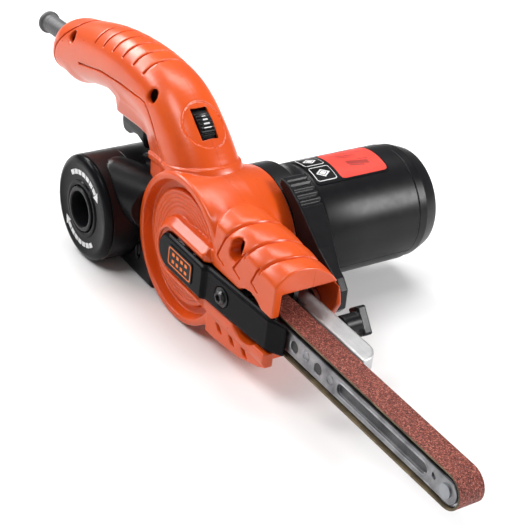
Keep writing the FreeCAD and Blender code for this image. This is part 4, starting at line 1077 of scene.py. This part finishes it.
def build_lever():
    """The tension lever: ribs across its thumb pad and a ring round its hub."""
    cells, x, y, z = lattice(["tension_lever"], 0.35)
    flat = from_side(polygon, x, z, LEVER) + 0.35
    far = np.interp(x, [13, 31, 47, 62, 80], [48.3, 47.0, 44.0, 38.8, 38.2])
    body = smax(flat - 0.3, slab(y, 33.1, far), 1.2)
    along = x * 0.89 - z * 0.456
    wave = np.abs(((along + 0.4) / 3.5) % 1 - 0.5) * 2
    ribs = 1.05 * np.clip(wave * 1.5 - 0.2, 0, 1)
    on_pad = np.clip((33.5 - x) / 1.5, 0, 1) * np.clip((x - 15.0) / 1.0, 0, 1)
    inner = np.clip((y - 34.3) / 0.5, 0, 1)
    body = body + np.where(flat > -3.2, ribs * on_pad, 0) * (z > 20) * inner
    hub = radial(x - LEVER_X, z)
    body = cut(body, smax(np.abs(hub - 5.4) - 0.5, np.abs(y - far) - 0.6, 0.2), 0.3)
    body = cut(body, np.maximum(hub - 4.0, y - 36.1))
    mould("lever_moulding", cells, body, "lever", "black_plastic", "tension_lever", BLACK)


build_lever()


def build_knob():
    """The tracking knob: a hollow wing on a round stem, with a pin."""
    cells, x, y, z = lattice(["tracking_knob"], 0.28)
    dx, dz = x - KNOB_X, z - KNOB_Z
    u = dx * math.cos(KNOB_TURN) - dz * math.sin(KNOB_TURN)
    v = dx * math.sin(KNOB_TURN) + dz * math.cos(KNOB_TURN)
    radius = radial(u, v)
    wing = smax(np.maximum(np.abs(u) - 7, np.abs(v) - 3.8), slab(y, 28.9, 33.8), 1.0)
    stem = smax(radius - 5, slab(y, 20.2, 29.2), 0.6)
    hollow = smax(smax(np.abs(u) - 5.6, np.abs(v) - 2.6, 0.6), 33.0 - y, 0.3)
    body = cut(smin(wing, stem, 0.8), hollow, 0.4)
    body = np.minimum(body, np.maximum(radius - 2.45, slab(y, 13.2, 21)))
    mould("knob_moulding", cells, body, "knob", "black_plastic", "tracking_knob", BLACK)


build_knob()


def build_trigger():
    """The trigger, hollowed for a finger and bored for its pin."""
    cells, x, y, z = lattice(["trigger"], 0.35)
    bulge = 0.8 * np.clip((z - 22) / 6, 0, 1)
    body = smax(from_side(polygon, x, z, TRIGGER), np.abs(y - SPLIT) - 5.7 - bulge, 2.2)
    body = np.maximum(body, 1.55 - radial(x - TRIGGER_X, z - TRIGGER_Z))
    mould("trigger_moulding", cells, body, "trigger_button", "black_plastic", "trigger", BLACK)


build_trigger()


def build_wheel():
    """The ribbed speed wheel, with printed bars that widen towards the fast end."""
    centre = (WHEEL_X, WHEEL_Z)

    def ribs(angle, y):
        wave = np.abs((angle * WHEEL_RIBS / math.tau) % 1 - 0.5) * 2
        return 0.75 * np.clip(1.6 * wave - 0.5, 0, 1) if 4.6 < y < 12.2 else 0

    wheel = lathe("wheel_moulding", [(4.4, 2.05), (4.4, 9.2), (4.7, 9.7), (5.0, WHEEL_RADIUS),
                                     (11.8, WHEEL_RADIUS), (12.1, 9.7), (12.4, 9.2),
                                     (12.4, 2.05), (4.4, 2.05)], centre, 720, ribs, 30)
    finish_piece(wheel, "wheel", "black_plastic", "speed_wheel", material=BLACK)

    def shape(a, b):
        half = 0.45 + 0.07 * (a + 5)
        return np.maximum(np.abs(b - SPLIT) - 2.6 * half / 1.15, np.abs((a % 2.2) - 1.1) - 0.45)

    def to_space(a, b, height):
        angle = a / WHEEL_RADIUS + math.radians(50)
        r = WHEEL_RADIUS - 0.06 + height
        return np.stack([WHEEL_X + r * np.sin(angle), b, WHEEL_Z + r * np.cos(angle)], -1)

    mark = printed_sheet("wheel_marks", (-5.5, 1.1), (4.8, 12.0), 0.2, shape, one_colour,
                         to_space, 0.1, (FILM_PALE,))
    finish_piece(mark, "wheel", "label_film")


build_wheel()

# ---- dust collector

CYCLONE_X, CYCLONE_Z = -69.0, -10.8
CYCLONE_RADIUS = 27.9
ARROW_RADIUS = 19.4
# how far each way an arrow's arc reaches, in degrees
ARROW_REACH = 42
PIPE_START, PIPE_END = np.array([-28.0, 5.0, 3.0]), np.array([-62.0, -11.6, 3.2])
PIPE_RADIUS = 15.0
DUCT = [(-26, -39), (-61, -39), (-65, -37.5), (-73.5, -20), (-73.5, 2), (-70, 11),
        (-63, 18.5), (-54, 21.8), (-40, 23.5), (-26, 23.5)]
# where the housing's web passes, so the duct keeps clear of it
WEB_GAP = [(-91, 54), (-91, 42), (-85.5, 40), (-82.5, 33.5), (-52, 34.5), (-46, 24),
           (-45, 20), (-44.6, 10), (-10, 10), (-10, 54)]


def flow_arrow(name, middle):
    """A dashed arrow that curves round the outlet, about an angle in degrees."""
    def shape(a, b):
        ring = np.abs(np.hypot(a, b) - ARROW_RADIUS)
        length = ARROW_RADIUS / 57.3
        turn = (np.degrees(np.arctan2(a, b)) - middle + 180) % 360 - 180
        arc = np.maximum(ring - 1.25, (np.abs(turn) - ARROW_REACH) * length)
        tip = (turn - ARROW_REACH) * length
        head = overlap(ring - (2.9 - 0.69 * tip), -tip, tip - 4.2)
        gaps = np.abs((turn / 12) % 1 - 0.5) * 12 * length - 0.35
        return np.minimum(np.maximum(arc, -gaps), head)

    def to_space(a, b, height):
        return np.stack([CYCLONE_X + a, np.full(a.shape, -27.33) - height, CYCLONE_Z + b], -1)

    piece = printed_sheet(name, (-24, 24), (-24, 24), 0.25, shape, one_colour, to_space, 0.12,
                          (FILM_PALE,))
    finish_piece(piece, "tool_housing", "label_film")


# sections of the turned pieces, as (y, radius)
CHAMBER = [(-24, 27.3), (-23.6, 27.9), (-6.3, 27.9), (-6.1, 27.75), (-5.9, 27.9),
           (20.2, 27.9), (21.4, 27.3), (22, 26.2), (22, 0.0), (19.6, 0.0), (19.6, 25.5),
           (-24, 25.5), (-24, 27.3)]
CHAMBER_CAP = [(-24.05, 12.0), (-24.05, 27.3), (-24.4, 27.75), (-24.9, 27.8),
               (-25.8, 27.35), (-26.7, 26.4), (-27.3, 25.1), (-27.5, 23.9), (-27.35, 23.5),
               (-27.35, 15.2), (-27.9, 14.9), (-28, 14.4), (-28, 13.1), (-27.8, 12.7),
               (-27.2, 12.2), (-26.9, 12.0), (-24.05, 12.0)]
OUTLET = [(-28.8, 11.3), (-28.8, 10.1), (-28.4, 9.55), (-27.8, 9.4), (-4.8, 9.4),
          (-4.8, 11.8), (-28.3, 11.8), (-28.8, 11.3)]


def build_cyclone():
    """The dust chamber, its end cap, the outlet tube and two flow arrows."""
    for name, section, segments, node, material in (
            ("chamber", CHAMBER, 144, "cyclone_chamber", BLACK),
            ("cyclone_cap", CHAMBER_CAP, 144, "cyclone_end_cap", GLOSS),
            ("cyclone_tube", OUTLET, 128, "outlet_tube", BLACK)):
        piece = lathe(name, section, (CYCLONE_X, CYCLONE_Z), segments)
        finish_piece(piece, "tool_housing", "black_plastic", node, material=material)
    flow_arrow("flow_arrow_upper", 0)
    flow_arrow("flow_arrow_lower", 180)


build_cyclone()


def inlet_pipe(x, y, z):
    """The round pipe that leans out of the duct to the dust chamber."""
    run = PIPE_END - PIPE_START
    dx, dy, dz = x - PIPE_START[0], y - PIPE_START[1], z - PIPE_START[2]
    share = np.clip((dx * run[0] + dy * run[1] + dz * run[2]) / (run @ run), 0, 1)
    away = [offset - share * part for offset, part in zip((dx, dy, dz), run)]
    return np.sqrt(away[0] ** 2 + away[1] ** 2 + away[2] ** 2) - PIPE_RADIUS


def build_duct():
    """The duct from the drum to the dust chamber, clear of both and of the web."""
    cells, x, y, z = lattice(["dust_duct"], 0.5, spare=(0, 17, 0))
    flat = from_side(polygon, x, z, DUCT)
    body = smax(flat, slab(y, -9, 24), 2.4)
    # the upper near side is cut back to show the pipe
    body = cut(body, smax(y - 2.5, 1 - z, 1.0), 1.6)
    body = smin(body, inlet_pipe(x, y, z), 3)
    mark = np.abs(radial(x + 41, (z + 24) / 2.2) - 1.9) - 0.4
    body = cut(body, np.maximum(mark, y + 4.0), 0.3)
    body = cut(body, smax(flat + 2.4, slab(y, 4.9, 21.6), 1.0))
    chamber = radial(x - CYCLONE_X, z - CYCLONE_Z) - CYCLONE_RADIUS - 0.05
    body = np.where(slab(y, -30, 22.05) > 0, body, cut(body, chamber))
    body = cut(body, radial(x, z) - DRUM_RADIUS - 0.05)
    web = from_side(polygon, x, z, WEB_GAP)
    body = cut(body, np.maximum(web, np.abs(y - SPLIT) - 12.2))
    mould("duct_moulding", cells, body, "tool_housing", "black_plastic", "dust_duct", BLACK)


build_duct()

# ---- motor

VENT_ANGLES = (30, 60, 90, 120, 150, 210, 240, 270, 300, 330)
CAP_SCREW_Z = 22.8
LABEL_RADIUS = 30.95
LABEL_Y = 80
# the strokes of the label's mark: middle, then half widths, along a and b
LABEL_STROKES = ((-3.6, 85, 0.5, 5.5), (-2.0, 83.5, 0.4, 3.6), (4.0, 88, 1.5, 6.2),
                 (6.0, 86.5, 0.5, 4.2), (-6.2, 91, 0.4, 4.8), (2.0, 92.5, 0.4, 3.0))
SYMBOL_PLACES, SYMBOL_Y = (-5.6, 6.6), 64.8


def build_motor_can():
    """The motor housing, with a fine seam along it."""
    def seam(angle, y):
        turn = np.degrees(angle) % 360
        return np.exp(-((turn - 118) / 0.5) ** 2) * 0.35 if y > 46 else 0

    profile = [(29.2, 27.4), (29.2, 30.0), (34.6, 30.0), (34.6, 33.2), (34.9, 33.6),
               (45.4, 33.6), (46, 33.2), (46.8, 32.3), (51.6, 30.2), (52.4, 29.9),
               (55.6, 29.9), (56.2, 30.2), (57.2, 30.5), (80, 30.5), (96, 30.5),
               (112.9, 30.5), (113.3, 30.25), (113.5, 30.0), (113.5, 27.2), (29.2, 27.2),
               (29.2, 27.4)]
    can = lathe("motor_can", profile, (0, 0), 360, seam, 28)
    finish_piece(can, "tool_housing", "black_plastic", "motor_housing", material=BLACK)


def build_motor_cap():
    """The motor's end cap: a turned form with ten vents and two screw seats."""
    section = [(113.65, 25.0), (113.65, 29.7), (113.9, 29.9), (119.0, 29.9), (119.3, 29.6),
               (119.6, 29.6), (121.5, 29.0), (124.4, 28.0), (126.6, 27.1), (127.3, 26.4),
               (127.6, 25.2), (127.6, 23.2), (127.2, 22.8), (127.2, 19.0), (127.5, 18.6),
               (127.5, 9.0), (127.1, 8.6), (127.1, -9.0), (124.6, -9.0), (124.6, 25.0)]
    cells, x, y, z = lattice(["motor_end_cap"], 0.45)
    radius = radial(x, z)
    # the section is worked out once over (y, radius) and looked up for each lattice point
    table_radius = np.arange(0, 46, 0.25)
    table = polygon(y[0], table_radius[None, :], section)
    body = np.empty(np.broadcast(x, y, z).shape, np.float32)
    for index in range(y.shape[1]):
        body[:, index, :] = np.interp(radius[:, 0, :], table_radius, table[index])
    for angle in VENT_ANGLES:
        turn = math.radians(angle)
        u = x * math.cos(turn) - z * math.sin(turn)
        v = x * math.sin(turn) + z * math.cos(turn)
        vent = smax(np.abs(u) - 1.1, slab(v, 13.5, 22.5), 0.4)
        body = cut(body, np.maximum(vent, 122 - y), 0.5)
    for screw_z in (CAP_SCREW_Z, -CAP_SCREW_Z):
        seat = radial(x, z - screw_z) - 3.0
        body = cut(body, np.maximum(seat, 125.2 - y), 0.3)
    mould("motor_cap", cells, body, "tool_housing", "black_plastic", "motor_end_cap", BLACK)


def build_label():
    """The label over the motor: a red panel with a dark mark, and two framed symbols."""
    def shape(a, b):
        return rounded_box(a, b, (0.8, LABEL_Y), (13.2, 22.6), 2.6)

    def paint(a, b):
        black, red, dark_red, pale = range(4)
        colour = np.full(a.shape, black)
        panel = rounded_box(a, b, (0.8, 87.2), (12.0, 14.4), 2.2) < 0
        colour[panel] = red
        for mark_a, mark_b, half_a, half_b in LABEL_STROKES:
            lean = (a - mark_a) - 0.18 * (b - mark_b)
            stroke = rounded_box(lean, b, (0, mark_b), (half_a, half_b), 0.3) < 0
            colour[stroke & panel] = dark_red
        for symbol_a in SYMBOL_PLACES:
            border = rounded_box(a, b, (symbol_a, SYMBOL_Y), (5.2, 6.0), 1.6)
            colour[np.abs(border + 0.2) < 0.22] = pale
            diamond = np.abs(a - symbol_a) * 0.8 + np.abs(b - SYMBOL_Y) * 0.55 - 2.3
            colour[diamond < 0] = pale
            colour[np.abs(diamond + 0.9) < 0.16] = black
        return colour

    def to_space(a, b, height):
        angle = a / LABEL_RADIUS
        r = LABEL_RADIUS - 0.12 + height
        return np.stack([r * np.sin(angle), b, r * np.cos(angle)], -1)

    label = printed_sheet("motor_label", (-12.6, 14.2), (57.2, 102.8), 0.25, shape, paint,
                          to_space, 0.11, (FILM_BLACK, FILM_RED, FILM_DARK_RED, FILM_PALE))
    finish_piece(label, "tool_housing", "label_film", "label_plate")


build_motor_can()
build_motor_cap()
build_label()


def build_sleeve():
    """The strain relief, turned about its own leaning axis."""
    along = Vector((math.cos(SLEEVE_LEAN), 0, math.sin(SLEEVE_LEAN)))
    side = Vector((0, 1, 0))
    up = along.cross(side)
    start = Vector((SLEEVE_START[0], SPLIT, SLEEVE_START[1]))
    profile = [(0, 3.7), (0, 5.6), (0.4, 6.2), (1.0, 6.3), (1.8, 6.25), (2.4, 5.8),
               (2.7, 5.1), (3.4, 4.95), (5, 4.9)]
    position = 6.0
    while position < 26:
        profile += [(position, 5.05), (position + 0.2, 4.95), (position + 1.8, 5.0)]
        position += 2.2
    profile += [(27, 5.25), (34, 5.3), (34, 3.7), (0, 3.7)]
    segments = 72
    points = []
    for distance, radius in profile:
        for index in range(segments):
            angle = math.tau * index / segments
            points.append(start + along * distance + side * radius * math.cos(angle)
                          + up * radius * math.sin(angle))
    sleeve = mesh_object("sleeve", place(points), ring_quads(len(profile), segments))
    outward(sleeve, weld=True)
    shade(sleeve, 35)
    finish_piece(sleeve, "tool_housing", "soft_rubber", "strain_relief", material=RUBBER)


build_sleeve()

# ---- stage, light and camera

FLOOR_HALF = 6.0
LIGHT_TARGET = (0.0, 0.0, 0.05)
# each light's name, size, power and place, in metres and watts
LIGHTS = (
    ("key", (0.45, 0.45), 7, (0.0, -0.7, 1.15)),
    ("left", (0.45, 0.3), 6, (-0.85, -0.62, 0.72)),
    ("back_left", (0.5, 0.25), 8, (-1.0, -0.1, 0.72)),
    ("top", (0.8, 0.35), 8, (-0.45, 0.3, 1.2)),
    ("right", (0.22, 0.5), 15, (0.85, 0.75, 0.62)),
)
EYE = (517.2, -351.4, 371.9)
# the directions of the picture's right, of its foot, and into it
VIEW_RIGHT = (0.54544, 0.83055, 0.11262)
VIEW_DOWN = (0.4888, -0.20606, -0.84771)
VIEW_FORWARD = (-0.68086, 0.51742, -0.51836)


def area_light(name, size, power, at):
    """A rectangular light that faces the object."""
    data = bpy.data.lights.new(name, "AREA")
    data.shape = "RECTANGLE"
    data.size, data.size_y = size
    data.energy = power
    lamp = bpy.data.objects.new(name, data)
    bpy.context.scene.collection.objects.link(lamp)
    lamp.location = at
    towards = Vector(LIGHT_TARGET) - Vector(at)
    lamp.rotation_euler = towards.to_track_quat("-Z", "Y").to_euler()


def build_stage():
    """A plain pale floor under a pale sky, and soft lights."""
    corners = [(-FLOOR_HALF, -FLOOR_HALF, 0), (FLOOR_HALF, -FLOOR_HALF, 0),
               (FLOOR_HALF, FLOOR_HALF, 0), (-FLOOR_HALF, FLOOR_HALF, 0)]
    mesh = bpy.data.meshes.new("floor")
    mesh.from_pydata(corners, [], [(0, 1, 2, 3)])
    mesh.materials.append(shader("pale_floor", (0.80, 0.80, 0.80), 0.7)[0])
    floor = bpy.data.objects.new("floor", mesh)
    bpy.context.scene.collection.objects.link(floor)
    world = bpy.data.worlds.new("studio")
    world.use_nodes = True
    sky = world.node_tree.nodes["Background"].inputs
    sky["Color"].default_value = (1, 1, 1, 1)
    sky["Strength"].default_value = 0.24
    bpy.context.scene.world = world
    bpy.context.scene.view_settings.view_transform = "Standard"
    for light in LIGHTS:
        area_light(*light)


def build_camera():
    """The camera, from the photograph's side and at its angle."""
    data = bpy.data.cameras.new("camera")
    data.sensor_width = 36
    data.lens = 101.57
    data.clip_start, data.clip_end = 0.05, 20
    eye = bpy.data.objects.new("camera", data)
    bpy.context.scene.collection.objects.link(eye)
    eye.location = place(EYE)
    axes = (Vector(VIEW_RIGHT), -Vector(VIEW_DOWN), -Vector(VIEW_FORWARD))
    eye.rotation_euler = Matrix(axes).transposed().to_euler()
    bpy.context.scene.camera = eye


build_stage()
build_camera()
